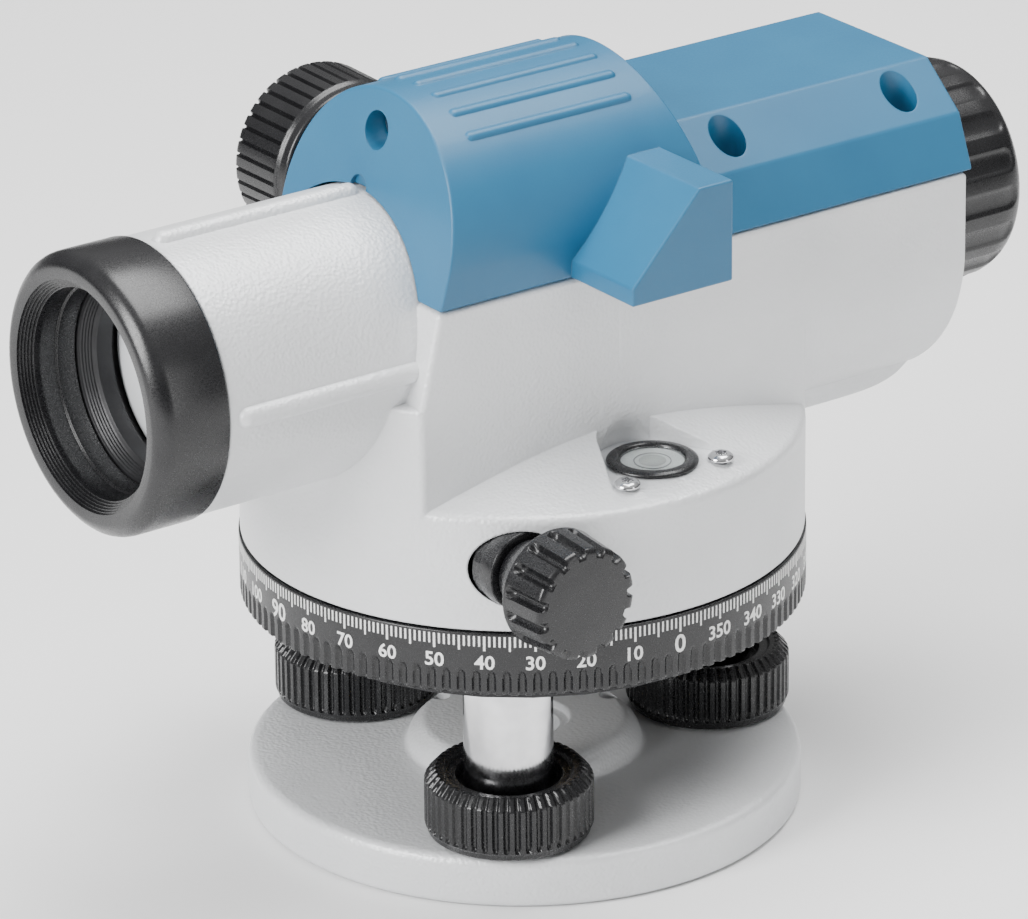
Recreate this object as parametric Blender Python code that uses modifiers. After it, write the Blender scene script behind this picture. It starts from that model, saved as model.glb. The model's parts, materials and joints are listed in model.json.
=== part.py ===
"""Automatic level, an optical builder's level with a horizontal circle.

Frame: +Z up, the telescope lies along X with its objective at -X and its eyepiece at +X, and
the side with the circular level, its mirror hood and the near drive knob faces -Y. The origin
is the centre of the base plate's underside, where the tripod's screw enters.

Every length below is in millimetres. The helpers turn it into metres.
"""
import math

import bmesh
import bpy
from mathutils import Matrix, Vector

MM = 0.001
GAP = 0.3                     # clearance left between two pieces that touch

# Base plate and levelling feet
BASE_RADIUS = 57.0
BASE_HEIGHT = 10.5
BOSS_RADIUS = 24.0
BOSS_TOP = 15.8
TRIPOD_BORE = 7.2             # bore for a 5/8 inch tripod screw
FOOT_CIRCLE = 42.4
FOOT_ANGLES = (230.0, 350.0, 110.0)
KNOB_RADIUS = 17.0
KNOB_BOTTOM = 11.2
KNOB_TOP = 24.4
SLEEVE_RADIUS = 9.0
SPINDLE_RADIUS = 5.0

# Levelling head, horizontal circle and azimuth drive
HEAD_RADIUS = 52.5
HEAD_BOTTOM = 43.9
CIRCLE_RADIUS = 57.7
CIRCLE_BOTTOM = 46.6
CIRCLE_TOP = 59.95
WHEEL_RADIUS = 28.7
WHEEL_TEETH = 48
DRIVE_X = -33.4
DRIVE_Z = 73.5
DRIVE_KNOB_RADIUS = 11.9
DRIVE_KNOB_INNER = 56.5       # distance of the knob's inner face from the mid plane
DRIVE_KNOB_OUTER = 68.0

# Main housing
DRUM_RADIUS = 57.4
DRUM_BOTTOM = 60.3
DRUM_RIM = 84.0
CONE_SLOPE = 0.30
SIDE_Y = 32.75
CREASE_Z = 105.6
PARTING_Z = 124.75            # plane between the housing and the top cover
FRONT_X = -47.1
FRONT_LEAN = 0.24
REAR_X = 88.7
BELLY_RADIUS = 33.0
BELLY_Z = 107.3
KEEL_BOTTOM = 74.0
KEEL_HALF = 16.0
AXIS_Z = 112.0                # height of the telescope's optical axis
TUBE_RADIUS = 27.9
TUBE_BORE = 24.9
TUBE_FRONT = -88.0
TUBE_REAR = -20.0

# Top cover
COVER_TOP = 145.2
COVER_SHOULDER = 136.1
COVER_SHOULDER_HALF = 28.4    # the rear cover's sides lean in towards this
COVER_FLAT_HALF = 17.8
COVER_REAR = 90.0
DOME_TOP = 160.6
DOME_RADIUS = 28.7
DOME_Y = -4.5                 # the dome stands off the middle, towards the near side
DOME_FLANGE_TOP = 126.4       # top of the flange at the foot of the dome's far side
DOME_REAR_TOP = 15.7
DOME_REAR_LEAN = -0.29
DOME_RIB_ANGLES = (52.5, 65.0, 77.5, 90.0, 102.5, 115.0, 127.5)
DOME_RIB_ENDS = (-28.5, 11.6)
DOME_RIB_RADIUS = 1.35
DOME_RIB_SINK = 0.7           # depth of a rib's middle line below the dome's surface
WALL = 2.4
HOOD_Y = -52.8
SCREW_XS = (35.0, 78.7)
SCREW_Y = 22.4
SCREW_POST = 5.1              # radius of the posts and columns around the cover screws
FRONT_SCREW = (-2.6, 152.3)   # Y and Z of the screw in the dome's front face

# Circular level on the near side
VIAL = (1.4, -42.2)
VIAL_FLOOR = 86.0
VIAL_SEAT = 81.8
VIAL_SCREW_X = 11.5
VIAL_SCREW_Y = -49.3

# Objective, focusing and eyepiece
HOOD_FRONT = -104.1
HOOD_REAR = -88.3
FOCUS_X = -11.5
FOCUS_Z = 126.0
FOCUS_KNOB_RADIUS = 18.6
FOCUS_KNOB_INNER = 40.0
FOCUS_KNOB_OUTER = 58.0
EYE_RADIUS = 23.6
EYE_FRONT = 90.4
EYE_REAR = 114.2

PART_NAME = "automatic_level"


def fresh_collections():
    """Empties the scene and returns the collection of parts and the one of cutters."""
    for old in list(bpy.data.objects):
        bpy.data.objects.remove(old, do_unlink=True)
    made = []
    for title in (PART_NAME, "cutters"):
        collection = bpy.data.collections.new(title)
        bpy.context.scene.collection.children.link(collection)
        made.append(collection)
    return made


PARTS, CUTTERS = fresh_collections()


def material(title, colour, roughness, metallic=0.0, alpha=1.0):
    made = bpy.data.materials.new(title)
    made.use_nodes = True
    shader = made.node_tree.nodes["Principled BSDF"]
    shader.inputs["Base Color"].default_value = (*colour, 1.0)
    shader.inputs["Roughness"].default_value = roughness
    shader.inputs["Metallic"].default_value = metallic
    shader.inputs["Alpha"].default_value = alpha
    return made


FINISHES = {
    "silver_paint": ((0.72, 0.73, 0.74), 0.45, 0.0),
    "blue_paint": ((0.045, 0.22, 0.40), 0.42, 0.0),
    "black_plastic": ((0.018, 0.018, 0.02), 0.42, 0.0),
    "black_metal": ((0.03, 0.03, 0.032), 0.5, 0.6),
    "chrome": ((0.78, 0.78, 0.8), 0.12, 1.0),
    "steel": ((0.55, 0.56, 0.58), 0.3, 1.0),
    "brass": ((0.72, 0.52, 0.22), 0.3, 1.0),
    "glass": ((0.85, 0.92, 0.95), 0.03, 0.0),
    "mirror": ((0.92, 0.93, 0.94), 0.02, 1.0),
    "level_fluid": ((0.80, 0.90, 0.45), 0.05, 0.0),
}


def finish(obj, title):
    """Gives one node its own material and puts it among the parts."""
    colour, roughness, metallic = FINISHES[title]
    alpha = 0.35 if title == "glass" else 1.0
    obj.data.materials.clear()
    obj.data.materials.append(material(obj.name, colour, roughness, metallic, alpha))
    PARTS.objects.link(obj)
    CUTTERS.objects.unlink(obj)
    obj.hide_render = False
    obj.display_type = "TEXTURED"
    return obj


def new_object(title, mesh):
    """Every shape starts among the cutters. finish() makes it a part."""
    obj = bpy.data.objects.new(title, mesh)
    CUTTERS.objects.link(obj)
    obj.hide_render = True
    obj.display_type = "WIRE"
    return obj


AXIS_FRAMES = {
    "X": Matrix(((0, 0, 1), (1, 0, 0), (0, 1, 0))),     # local x, y, z are Y, Z, X
    "Y": Matrix(((1, 0, 0), (0, 0, -1), (0, 1, 0))),    # local x, y, z are X, Z, -Y
    "Z": Matrix.Identity(3),
}


def turned(title, profile, axis="Z", centre=(0, 0, 0), segments=48, closed=False):
    """A turned shape from a profile of (radius, place along the axis) pairs.

    The outer side comes first and runs from the high end of the axis to the low end.
    """
    sign = -1 if axis == "Y" else 1
    points = [(radius * MM, 0, sign * along * MM) for radius, along in profile]
    if sign < 0:
        points.reverse()
    edges = [(i, i + 1) for i in range(len(points) - 1)]
    if closed:
        edges.append((len(points) - 1, 0))
    mesh = bpy.data.meshes.new(title)
    mesh.from_pydata(points, edges, [])
    obj = new_object(title, mesh)
    frame = AXIS_FRAMES[axis].to_4x4()
    obj.matrix_world = Matrix.Translation(Vector(centre) * MM) @ frame
    screw = obj.modifiers.new("turn", "SCREW")
    screw.steps = segments
    screw.render_steps = segments
    screw.use_merge_vertices = True
    screw.merge_threshold = 0.00001
    screw.use_smooth_shade = True
    return obj


def rod(title, radius, low, high, axis="Z", centre=(0, 0, 0), segments=16):
    profile = [(0, high), (radius, high), (radius, low), (0, low)]
    return turned(title, profile, axis, centre, segments)


def ring(title, outer, inner, low, high, axis="Z", centre=(0, 0, 0), segments=20):
    profile = [(inner, high), (outer, high), (outer, low), (inner, low)]
    return turned(title, profile, axis, centre, segments, closed=True)


def box(title, low, high):
    mesh = bpy.data.meshes.new(title)
    shape = bmesh.new()
    bmesh.ops.create_cube(shape, size=1.0)
    size = [(b - a) * MM for a, b in zip(low, high)]
    middle = [(a + b) / 2 * MM for a, b in zip(low, high)]
    bmesh.ops.scale(shape, vec=size, verts=shape.verts)
    bmesh.ops.translate(shape, vec=middle, verts=shape.verts)
    shape.to_mesh(mesh)
    shape.free()
    return new_object(title, mesh)


def plate(title, outline, axis, low, high):
    """A flat outline with a thickness from low to high along the axis.

    The outline's pairs are (Y, Z) for axis X, (X, Z) for axis Y and (X, Y) for axis Z.
    """
    curve = bpy.data.curves.new(title, "CURVE")
    curve.dimensions = "2D"
    curve.fill_mode = "BOTH"
    curve.extrude = (high - low) / 2 * MM
    spline = curve.splines.new("POLY")
    spline.points.add(len(outline) - 1)
    for point, (across, up) in zip(spline.points, outline):
        point.co = (across * MM, up * MM, 0, 1)
    spline.use_cyclic_u = True
    drawn = bpy.data.objects.new(title + "_outline", curve)
    middle = (low + high) / 2 * MM
    offset = {"X": (middle, 0, 0), "Y": (0, middle, 0), "Z": (0, 0, middle)}[axis]
    drawn.matrix_world = Matrix.Translation(offset) @ AXIS_FRAMES[axis].to_4x4()
    CUTTERS.objects.link(drawn)
    bpy.context.view_layer.update()
    evaluated = drawn.evaluated_get(bpy.context.evaluated_depsgraph_get())
    mesh = bpy.data.meshes.new_from_object(evaluated)
    shape = bmesh.new()
    shape.from_mesh(mesh)
    bmesh.ops.remove_doubles(shape, verts=shape.verts, dist=0.00001)
    bmesh.ops.recalc_face_normals(shape, faces=shape.faces)
    shape.to_mesh(mesh)
    shape.free()
    solid = new_object(title, mesh)
    solid.matrix_world = drawn.matrix_world
    bpy.data.objects.remove(drawn, do_unlink=True)
    return solid


def combine(target, tool, operation):
    step = target.modifiers.new(tool.name, "BOOLEAN")
    step.operation = operation
    step.solver = "EXACT"
    step.object = tool
    return target


def cut(target, *tools):
    for tool in tools:
        combine(target, tool, "DIFFERENCE")
    return target


def join(target, *tools):
    for tool in tools:
        combine(target, tool, "UNION")
    return target


def weld(obj):
    """Merges the points that a long run of cuts leaves on top of each other."""
    step = obj.modifiers.new("weld", "WELD")
    step.merge_threshold = 0.00001
    return obj


def arc(centre, radius, start, end, steps):
    """Points on a circle from start to end, in degrees, both ends included."""
    points = []
    for index in range(steps + 1):
        angle = math.radians(start + (end - start) * index / steps)
        points.append((centre[0] + radius * math.cos(angle), centre[1] + radius * math.sin(angle)))
    return points


def fluted_outline(radius, depth, flutes, centre=(0, 0)):
    """A round outline with evenly spaced flat-bottomed flutes."""
    points = []
    pitch = 360.0 / flutes
    for index in range(flutes):
        start = index * pitch
        for share, level in ((0.0, 0), (0.5, 0), (0.75, depth)):
            angle = math.radians(start + share * pitch)
            reach = radius - level
            points.append((centre[0] + reach * math.cos(angle), centre[1] + reach * math.sin(angle)))
    return points


def foot_centre(angle):
    turn = math.radians(angle)
    return (FOOT_CIRCLE * math.cos(turn), FOOT_CIRCLE * math.sin(turn), 0)


def pivot(title, place, pieces):
    """An empty on a joint's axis, with the moving pieces parented to it."""
    empty = bpy.data.objects.new(title, None)
    empty.location = Vector(place) * MM
    PARTS.objects.link(empty)
    bpy.context.view_layer.update()
    for piece in pieces:
        piece.parent = empty
        piece.matrix_parent_inverse = empty.matrix_world.inverted()
    return empty


# ---- Base -------------------------------------------------------------------------------

def base_plate():
    profile = [
        (TRIPOD_BORE, BOSS_TOP), (BOSS_RADIUS - 4, BOSS_TOP), (BOSS_RADIUS, BASE_HEIGHT),
        (BASE_RADIUS - 1.5, BASE_HEIGHT), (BASE_RADIUS, BASE_HEIGHT - 1.5), (BASE_RADIUS, 1.2),
        (BASE_RADIUS - 1.2, 0), (49, 0), (49, 2.8), (12, 2.8), (12, 0), (TRIPOD_BORE, 0),
    ]
    plate_body = turned("base_plate", profile, segments=40, closed=True)
    for angle in FOOT_ANGLES:
        cut(plate_body, rod("foot_hole", 3.7, 1, 20, centre=foot_centre(angle), segments=16))
    return finish(plate_body, "silver_paint")


def retaining_spring():
    """Three-armed leaf spring that draws the feet down onto the base plate."""
    hub, reach, half = 18.0, 48.0, 5.5
    half_turn = math.degrees(math.asin(half / hub))
    outline = []
    for angle in sorted(FOOT_ANGLES):
        turn = math.radians(angle)
        for side in (-half, half):
            outline.append((reach * math.cos(turn) - side * math.sin(turn),
                            reach * math.sin(turn) + side * math.cos(turn)))
        outline += arc((0, 0), hub, angle + half_turn, angle + 120 - half_turn, 6)
    leaf = plate("retaining_spring", outline, "Z", 1.3, 2.3)
    cut(leaf, rod("spring_bore", 12.4, 0, 4, segments=20))
    for angle in FOOT_ANGLES:
        cut(leaf, rod("spring_hole", 2.3, 0, 4, centre=foot_centre(angle), segments=10))
    return finish(leaf, "steel")


def foot_screw(number, angle):
    centre = foot_centre(angle)
    spindle_profile = [
        (0, 42.0), (SPINDLE_RADIUS - 1, 42.0), (SPINDLE_RADIUS, 41.0), (SPINDLE_RADIUS, 10.9),
        (3.3, 10.9), (3.3, 3.1), (1.9, 2.9), (1.9, 1.0), (3.1, 1.0), (3.1, 0.4), (0, 0.4),
    ]
    spindle = turned(f"foot_spindle_{number}", spindle_profile, centre=centre, segments=16)
    finish(spindle, "steel")
    outline = fluted_outline(KNOB_RADIUS, 0.7, 24, centre[:2])
    knob = plate(f"foot_knob_{number}", outline, "Z", KNOB_BOTTOM, KNOB_TOP)
    bore = rod("knob_bore", SPINDLE_RADIUS + GAP, 5, 30, centre=centre)
    recess = rod("knob_recess", 10.6, 20.3, 30, centre=centre, segments=32)
    finish(cut(knob, bore, recess), "black_plastic")
    return [spindle, knob]


def foot_sleeve(number, angle):
    sleeve = ring(f"foot_sleeve_{number}", SLEEVE_RADIUS, SPINDLE_RADIUS + GAP, 20.8, 46.0,
                  centre=foot_centre(angle))
    return finish(sleeve, "chrome")


def levelling_head():
    profile = [
        (12.3, 78.6), (17, 78.6), (17, 67), (28, 67), (28, 59), (43.8, 59), (43.8, 46.3),
        (HEAD_RADIUS, 46.3), (HEAD_RADIUS, HEAD_BOTTOM), (26, HEAD_BOTTOM), (22, 35), (12.3, 35),
    ]
    head = turned("levelling_head", profile, segments=32, closed=True)
    for angle in FOOT_ANGLES:
        socket = rod("sleeve_socket", SLEEVE_RADIUS + GAP, 40, 46.3, centre=foot_centre(angle))
        cut(head, socket)
    return finish(head, "black_metal")


def axis_bush():
    return finish(ring("axis_bush", 12.0, 8.35, 33.0, 78.8, segments=28), "brass")


def horizontal_circle():
    profile = [
        (44.2, CIRCLE_TOP), (CIRCLE_RADIUS, CIRCLE_TOP), (CIRCLE_RADIUS, CIRCLE_BOTTOM),
        (44.2, CIRCLE_BOTTOM),
    ]
    return finish(turned("horizontal_circle", profile, segments=60, closed=True), "black_plastic")


def worm_wheel():
    outline = []
    pitch = 360.0 / WHEEL_TEETH
    for tooth in range(WHEEL_TEETH):
        for share, reach in ((0.0, WHEEL_RADIUS), (0.3, WHEEL_RADIUS), (0.65, WHEEL_RADIUS - 1.4)):
            angle = math.radians((tooth + share) * pitch)
            outline.append((reach * math.cos(angle), reach * math.sin(angle)))
    wheel = plate("worm_wheel", outline, "Z", 69.0, 78.0)
    cut(wheel, rod("wheel_bore", 17.4, 60, 90, segments=32))
    return finish(wheel, "brass")


def clutch_washer():
    """Wave washer whose friction holds the worm wheel on the levelling head."""
    return finish(ring("clutch_washer", 27.0, 17.3, 67.3, 68.7), "steel")


# ---- Alidade: the part that turns about the vertical axis ---------------------------------

def cone_height(radius):
    """Height of the drum's sloping shoulder at a distance from the vertical axis."""
    return DRUM_RIM + CONE_SLOPE * (DRUM_RADIUS - radius)


def drum():
    profile = [(0, CREASE_Z), (DRUM_RADIUS, CREASE_Z), (DRUM_RADIUS, DRUM_BOTTOM), (0, DRUM_BOTTOM)]
    body = turned("drum", profile, segments=60)
    for side in (-1, 1):
        reach = 80
        above = turned("above_shoulder", [(0, 115), (reach, 115), (reach, cone_height(reach)),
                                          (0, cone_height(0))], segments=60)
        near, far = sorted((side * SIDE_Y, side * reach))
        combine(above, box("shoulder_side", (-reach, near, 70), (reach, far, 120)), "INTERSECT")
        cut(body, above)
    return body


def rear_body_outline():
    half = SIDE_Y + 0.1
    lower = arc((0, BELLY_Z), BELLY_RADIUS, 180, 360, 20)
    return [(half, PARTING_Z - 0.15), (-half, PARTING_Z - 0.15)] + lower


def front_plane_x(height):
    """Place of the leaning front face at a height above the crease."""
    return FRONT_X + FRONT_LEAN * (height - CREASE_Z)


def screw_places():
    """Centres of the four upright screws that hold the cover."""
    return [(x, y) for x in SCREW_XS for y in (-SCREW_Y, SCREW_Y)]


def main_housing():
    """One casting: drum, telescope tube and the box that holds the compensator."""
    housing = drum()
    housing.name = "main_housing"
    top = PARTING_Z - 0.15
    rear = plate("rear_body", rear_body_outline(), "X", 0, REAR_X)
    front_outline = [(FRONT_X + 0.4, CREASE_Z - 6), (FRONT_X, CREASE_Z), (front_plane_x(top), top - 0.05),
                     (4, top - 0.05), (4, CREASE_Z - 6)]
    front = plate("front_body", front_outline, "Y", -SIDE_Y + 0.05, SIDE_Y - 0.05)
    keel_outline = [(30, 90), (30, KEEL_BOTTOM), (76, KEEL_BOTTOM + 0.2), (81.7, KEEL_BOTTOM + 0.9),
                    (84.1, KEEL_BOTTOM + 1.8), (86.5, KEEL_BOTTOM + 3.1), (88.4, KEEL_BOTTOM + 4.5),
                    (88.4, 90)]
    keel = plate("keel", keel_outline, "Y", -KEEL_HALF, KEEL_HALF)
    tube = rod("tube", TUBE_RADIUS, TUBE_FRONT, TUBE_REAR, "X", (0, 0, AXIS_Z), 44)
    top_rib = box("top_rib", (-86.0, -1.6, AXIS_Z + 20), (-39.0, 1.6, AXIS_Z + TUBE_RADIUS + 1.3))
    side_rib = box("side_rib", (-86.0, -TUBE_RADIUS - 1.3, AXIS_Z - 1.6), (-44.0, -20, AXIS_Z + 1.6))
    far_rib = box("far_rib", (-86.0, 20, AXIS_Z - 1.6), (-44.0, TUBE_RADIUS + 1.3, AXIS_Z + 1.6))
    lug = box("cover_lug", (-26, -8.5, AXIS_Z + 20), (TUBE_REAR, 3.5, 155.4))
    join(housing, rear, front, keel, tube, top_rib, side_rib, far_rib, lug)

    inner = SIDE_Y - 4.2
    room = box("body_room", (-36.6, -inner, 104), (83.4, inner, 126))
    for x, y in screw_places():
        low, high = sorted((y, math.copysign(SIDE_Y, y)))
        cut(room, rod("screw_post", SCREW_POST, 100, 130, centre=(x, y, 0), segments=20),
            box("post_web", (x - 1.5, low, 100), (x + 1.5, high, 130)))
    cut(housing,
        rod("drum_room", DRUM_RADIUS - 4, 50, 80.5, segments=40),
        rod("tube_bore", TUBE_BORE, -95, 28, "X", (0, 0, AXIS_Z), 32),
        room,
        box("compensator_room", (27, -19, 90), (83.4, 19, 106)),
        rod("eyepiece_seat", 14.0, 80, 95, "X", (0, 0, AXIS_Z), 32),
        rod("lug_hole", 1.9, -30, -15, "X", (0, *FRONT_SCREW), 12),
        rod("focus_notch", 6.6, 20, 45, "Y", (FOCUS_X, 0, FOCUS_Z), 24),
        rod("drive_hole", 8.2, -70, 70, "Y", (DRIVE_X, 0, DRIVE_Z), 24))
    for x, y in screw_places():
        cut(housing, rod("screw_pilot", 1.9, 112, 130, centre=(x, y, 0), segments=12))
    cut(housing, vial_recess(), rod("vial_seat", 8.3, VIAL_SEAT, 100, centre=(VIAL[0], VIAL[1], 0)))
    for x in (VIAL[0] - VIAL_SCREW_X, VIAL[0] + VIAL_SCREW_X):
        cut(housing, rod("vial_pilot", 1.5, 82, 90, centre=(x, VIAL_SCREW_Y, 0), segments=12))
    return finish(weld(housing), "silver_paint")


def vial_recess():
    """Level floor sunk into the sloping shoulder, widening outwards."""
    outline = [(VIAL[0] - 7, -30), (VIAL[0] - 22, -60), (VIAL[0] + 22, -60), (VIAL[0] + 7, -30)]
    return plate("vial_recess", outline, "Z", VIAL_FLOOR, 92)


def vertical_spindle():
    profile = [(0, 80.2), (20, 80.2), (20, 79.2), (8.0, 79.2), (8.0, 31.0), (5.5, 31.0),
               (5.5, 25.5), (0, 25.5)]
    return finish(turned("vertical_spindle", profile, segments=20), "steel")


def spindle_nut():
    outline = arc((0, 0), 9.0, 0, 300, 5)
    nut = plate("spindle_nut", outline, "Z", 26.2, 30.7)
    return finish(cut(nut, rod("nut_bore", 5.8, 20, 35)), "steel")


def vial_parts():
    x, y = VIAL
    bezel = turned("vial_bezel", [(6.5, VIAL_FLOOR + 2.0), (8.6, VIAL_FLOOR + 2.0),
                                  (9.2, VIAL_FLOOR + 1.4), (9.2, VIAL_FLOOR + 0.3),
                                  (8.0, VIAL_FLOOR + 0.3), (8.0, VIAL_SEAT + 0.3), (6.5, VIAL_SEAT + 0.3)],
                   centre=(x, y, 0), segments=20, closed=True)
    finish(bezel, "black_plastic")
    glass = rod("vial_glass", 6.2, VIAL_SEAT + 0.6, VIAL_FLOOR + 1.6, centre=(x, y, 0))
    pieces = [bezel, finish(glass, "level_fluid")]
    for number, offset in enumerate((-VIAL_SCREW_X, VIAL_SCREW_X), 1):
        profile = [(0, VIAL_FLOOR + 1.6), (2.5, VIAL_FLOOR + 1.6), (2.5, VIAL_FLOOR + 0.3),
                   (1.2, VIAL_FLOOR + 0.3), (1.2, 82.4), (0, 82.4)]
        screw = turned(f"vial_screw_{number}", profile, centre=(x + offset, VIAL_SCREW_Y, 0),
                       segments=16)
        pieces.append(finish(screw, "steel"))
    return pieces


def dome_outline(shrink=0.0):
    """Arch of the cover's front part in Y and Z. Its far side widens to a flange at its foot."""
    radius = DOME_RADIUS - shrink
    middle = DOME_TOP - DOME_RADIUS
    low = PARTING_Z + 0.15 - (0 if shrink == 0 else 5)
    half = SIDE_Y - shrink
    arch = [(DOME_Y + y, z) for y, z in arc((0, middle), radius, 0, 180, 20)]
    return [(half, low), (half, DOME_FLANGE_TOP - shrink)] + arch + [(-half, low)]


def dome_solid(shrink=0.0):
    title = "dome_room" if shrink else "dome"
    dome = plate(title, dome_outline(shrink), "X", -60, 50)
    low = PARTING_Z + 0.15 - (0 if shrink == 0 else 6)
    high = DOME_TOP + 5

    def front(height):
        return front_plane_x(height) + shrink

    def rear(height):
        return DOME_REAR_TOP + DOME_REAR_LEAN * (height - DOME_TOP) - shrink

    sides = [(front(low), low), (rear(low), low), (rear(high), high), (front(high), high)]
    return combine(dome, plate(title + "_sides", sides, "Y", -60, 60), "INTERSECT")


def box_outline(shrink=0.0):
    """Roofed section of the cover's rear part in Y and Z."""
    low = PARTING_Z + 0.15 - (0 if shrink == 0 else 5)
    far = [(SIDE_Y - shrink, low), (COVER_SHOULDER_HALF - shrink, COVER_SHOULDER - shrink * 0.6),
           (COVER_FLAT_HALF - shrink * 0.4, COVER_TOP - shrink)]
    return far + [(-y, z) for y, z in reversed(far)]


def hood_outline(shrink=0.0):
    """Side view of the mirror hood in X and Z. Shrunk, it is the room that opens rearwards."""
    low = PARTING_Z + 0.15
    outline = [(-11.2, low), (-11.2, 128.6), (4.9, 145.8), (13.1, 145.8), (13.1, low)]
    if not shrink:
        return outline
    return [(-11.2 + shrink, low - 5), (-11.2 + shrink, 127.7), (5.8, 145.8 - shrink),
            (20, 145.8 - shrink), (20, low - 5)]


def dome_ribs():
    """Low round ribs that run along the dome's crown."""
    ribs = []
    low, high = DOME_RIB_ENDS
    for number, angle in enumerate(DOME_RIB_ANGLES, 1):
        turn = math.radians(angle)
        reach = DOME_RADIUS - DOME_RIB_SINK
        centre = (0, DOME_Y + reach * math.cos(turn), DOME_TOP - DOME_RADIUS + reach * math.sin(turn))
        ribs.append(rod(f"dome_rib_{number}", DOME_RIB_RADIUS, low, high, "X", centre, 12))
    return ribs


def top_cover():
    cover = dome_solid()
    cover.name = "top_cover"
    rear = plate("rear_cover", box_outline(), "X", 0, COVER_REAR)
    hood = plate("hood", hood_outline(), "Y", HOOD_Y, -20)
    join(cover, rear, hood, *dome_ribs())
    hood_room = plate("hood_room", hood_outline(WALL), "Y", HOOD_Y + WALL, -SIDE_Y - 2 * GAP)
    rear_room = plate("rear_room", box_outline(WALL), "X", 2, COVER_REAR - WALL)
    for x, y in screw_places():
        cut(rear_room, rod("screw_column", SCREW_POST, 100, 160, centre=(x, y, 0), segments=20))
    dome_room = cut(dome_solid(WALL), rod("front_column", 5.4, -50, -26.3, "X", (0, *FRONT_SCREW), 20))
    cut(cover, dome_room, rear_room, hood_room)
    for x, y in screw_places():
        cut(cover, rod("screw_well", 3.8, 131, 150, centre=(x, y, 0), segments=20),
            rod("screw_way", 1.9, 120, 133, centre=(x, y, 0), segments=12))
    cut(cover,
        rod("front_well", 3.8, -50, -29, "X", (0, *FRONT_SCREW), 20),
        rod("front_way", 1.9, -35, -20, "X", (0, *FRONT_SCREW), 12),
        rod("eyepiece_gap", 14.3, 80, 95, "X", (0, 0, AXIS_Z), 32),
        rod("tube_gap", TUBE_RADIUS + 0.5, -60, TUBE_REAR + 1, "X", (0, 0, AXIS_Z), 40),
        rod("focus_notch", 6.6, 20, 45, "Y", (FOCUS_X, 0, FOCUS_Z), 24))
    return finish(weld(cover), "blue_paint")


def cover_screws():
    """Four screws that come down the wells in the roof, and one in the dome's front face."""
    pieces = []
    for number, (x, y) in enumerate(screw_places(), 1):
        profile = [(0, 133.6), (3.3, 133.6), (3.3, 131.3), (1.6, 131.3), (1.6, 113), (0, 113)]
        screw = turned(f"cover_screw_{number}", profile, centre=(x, y, 0), segments=16)
        pieces.append(finish(screw, "steel"))
    profile = [(0, -15.5), (1.6, -15.5), (1.6, -29.3), (3.3, -29.3), (3.3, -31.6), (0, -31.6)]
    front = turned("cover_screw_5", profile, "X", (0, *FRONT_SCREW), segments=16)
    return pieces + [finish(front, "steel")]


def vial_mirror():
    """Mirror plate under the hood's slanted wall. It shows the vial to the eyepiece side."""
    outline = [(-7.9, 127.4), (5.6, 141.8), (6.6, 140.9), (-6.9, 126.5)]
    return finish(plate("vial_mirror", outline, "Y", HOOD_Y + 3.0, -34.0), "mirror")


# ---- Azimuth drive ------------------------------------------------------------------------

def drive_shaft():
    """Worm shaft across the drum. The worm in its middle turns the worm wheel."""
    profile = [(0, 63), (2.5, 63), (2.5, 12), (4.3, 12)]
    thread = [(4.3 - 1.1 * (index % 2), 10 - 2 * index) for index in range(11)]
    profile += thread + [(4.3, -12), (2.5, -12), (2.5, -63), (0, -63)]
    shaft = turned("drive_shaft", profile, "Y", (DRIVE_X, 0, DRIVE_Z), segments=12)
    return finish(shaft, "steel")


def drive_bush(title, side):
    """Flanged bearing bush pressed into the drum's wall."""
    near, far = sorted((side * 40.6, side * 47.2))
    bush = ring(title, 7.9, 3.0, near, far, "Y", (DRIVE_X, 0, DRIVE_Z), 24)
    return finish(bush, "black_plastic")


def drive_knob(title, side):
    outline = fluted_outline(DRIVE_KNOB_RADIUS, 1.0, 15, (DRIVE_X, DRIVE_Z))
    low, high = sorted((side * DRIVE_KNOB_INNER, side * DRIVE_KNOB_OUTER))
    knob = plate(title, outline, "Y", low, high)
    neck_profile = [(0, -47.6), (6.4, -47.6), (8.4, -52.2), (9.4, -57.8), (0, -57.8)]
    if side > 0:
        neck_profile = [(radius, -along) for radius, along in reversed(neck_profile)]
    neck = turned("knob_neck", neck_profile, "Y", (DRIVE_X, 0, DRIVE_Z), segments=24)
    join(knob, neck)
    low, high = sorted((side * 40, side * 63.3))
    cut(knob, rod("knob_bore", 2.8, low, high, "Y", (DRIVE_X, 0, DRIVE_Z), 16))
    return finish(knob, "black_plastic")


# ---- Objective and focusing ---------------------------------------------------------------

def objective_parts():
    hood = turned("objective_hood", [
        (25.2, HOOD_REAR), (28.4, HOOD_REAR), (28.4, HOOD_FRONT + 2.4), (26.4, HOOD_FRONT + 0.5),
        (24.8, HOOD_FRONT), (23, HOOD_FRONT + 0.4), (21.6, -92), (25.2, -92),
    ], "X", (0, 0, AXIS_Z), 32, closed=True)
    finish(hood, "black_plastic")
    cell = turned("objective_cell", [
        (19.9, -64), (24.5, -64), (24.5, -91.7), (20.2, -91.7), (20.2, -89), (18.0, -89),
        (18.0, -85.3), (19.9, -85.3),
    ], "X", (0, 0, AXIS_Z), 24, closed=True)
    finish(cell, "black_metal")
    lens = turned("objective_lens", lens_profile(19.5, -85.0, 7.0, 1.8), "X", (0, 0, AXIS_Z), 24)
    finish(lens, "glass")
    retainer = ring("lens_retainer", 19.6, 17.6, -76.2, -73.5, "X", (0, 0, AXIS_Z), 24)
    finish(retainer, "black_metal")
    return [hood, cell, lens, retainer]


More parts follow.
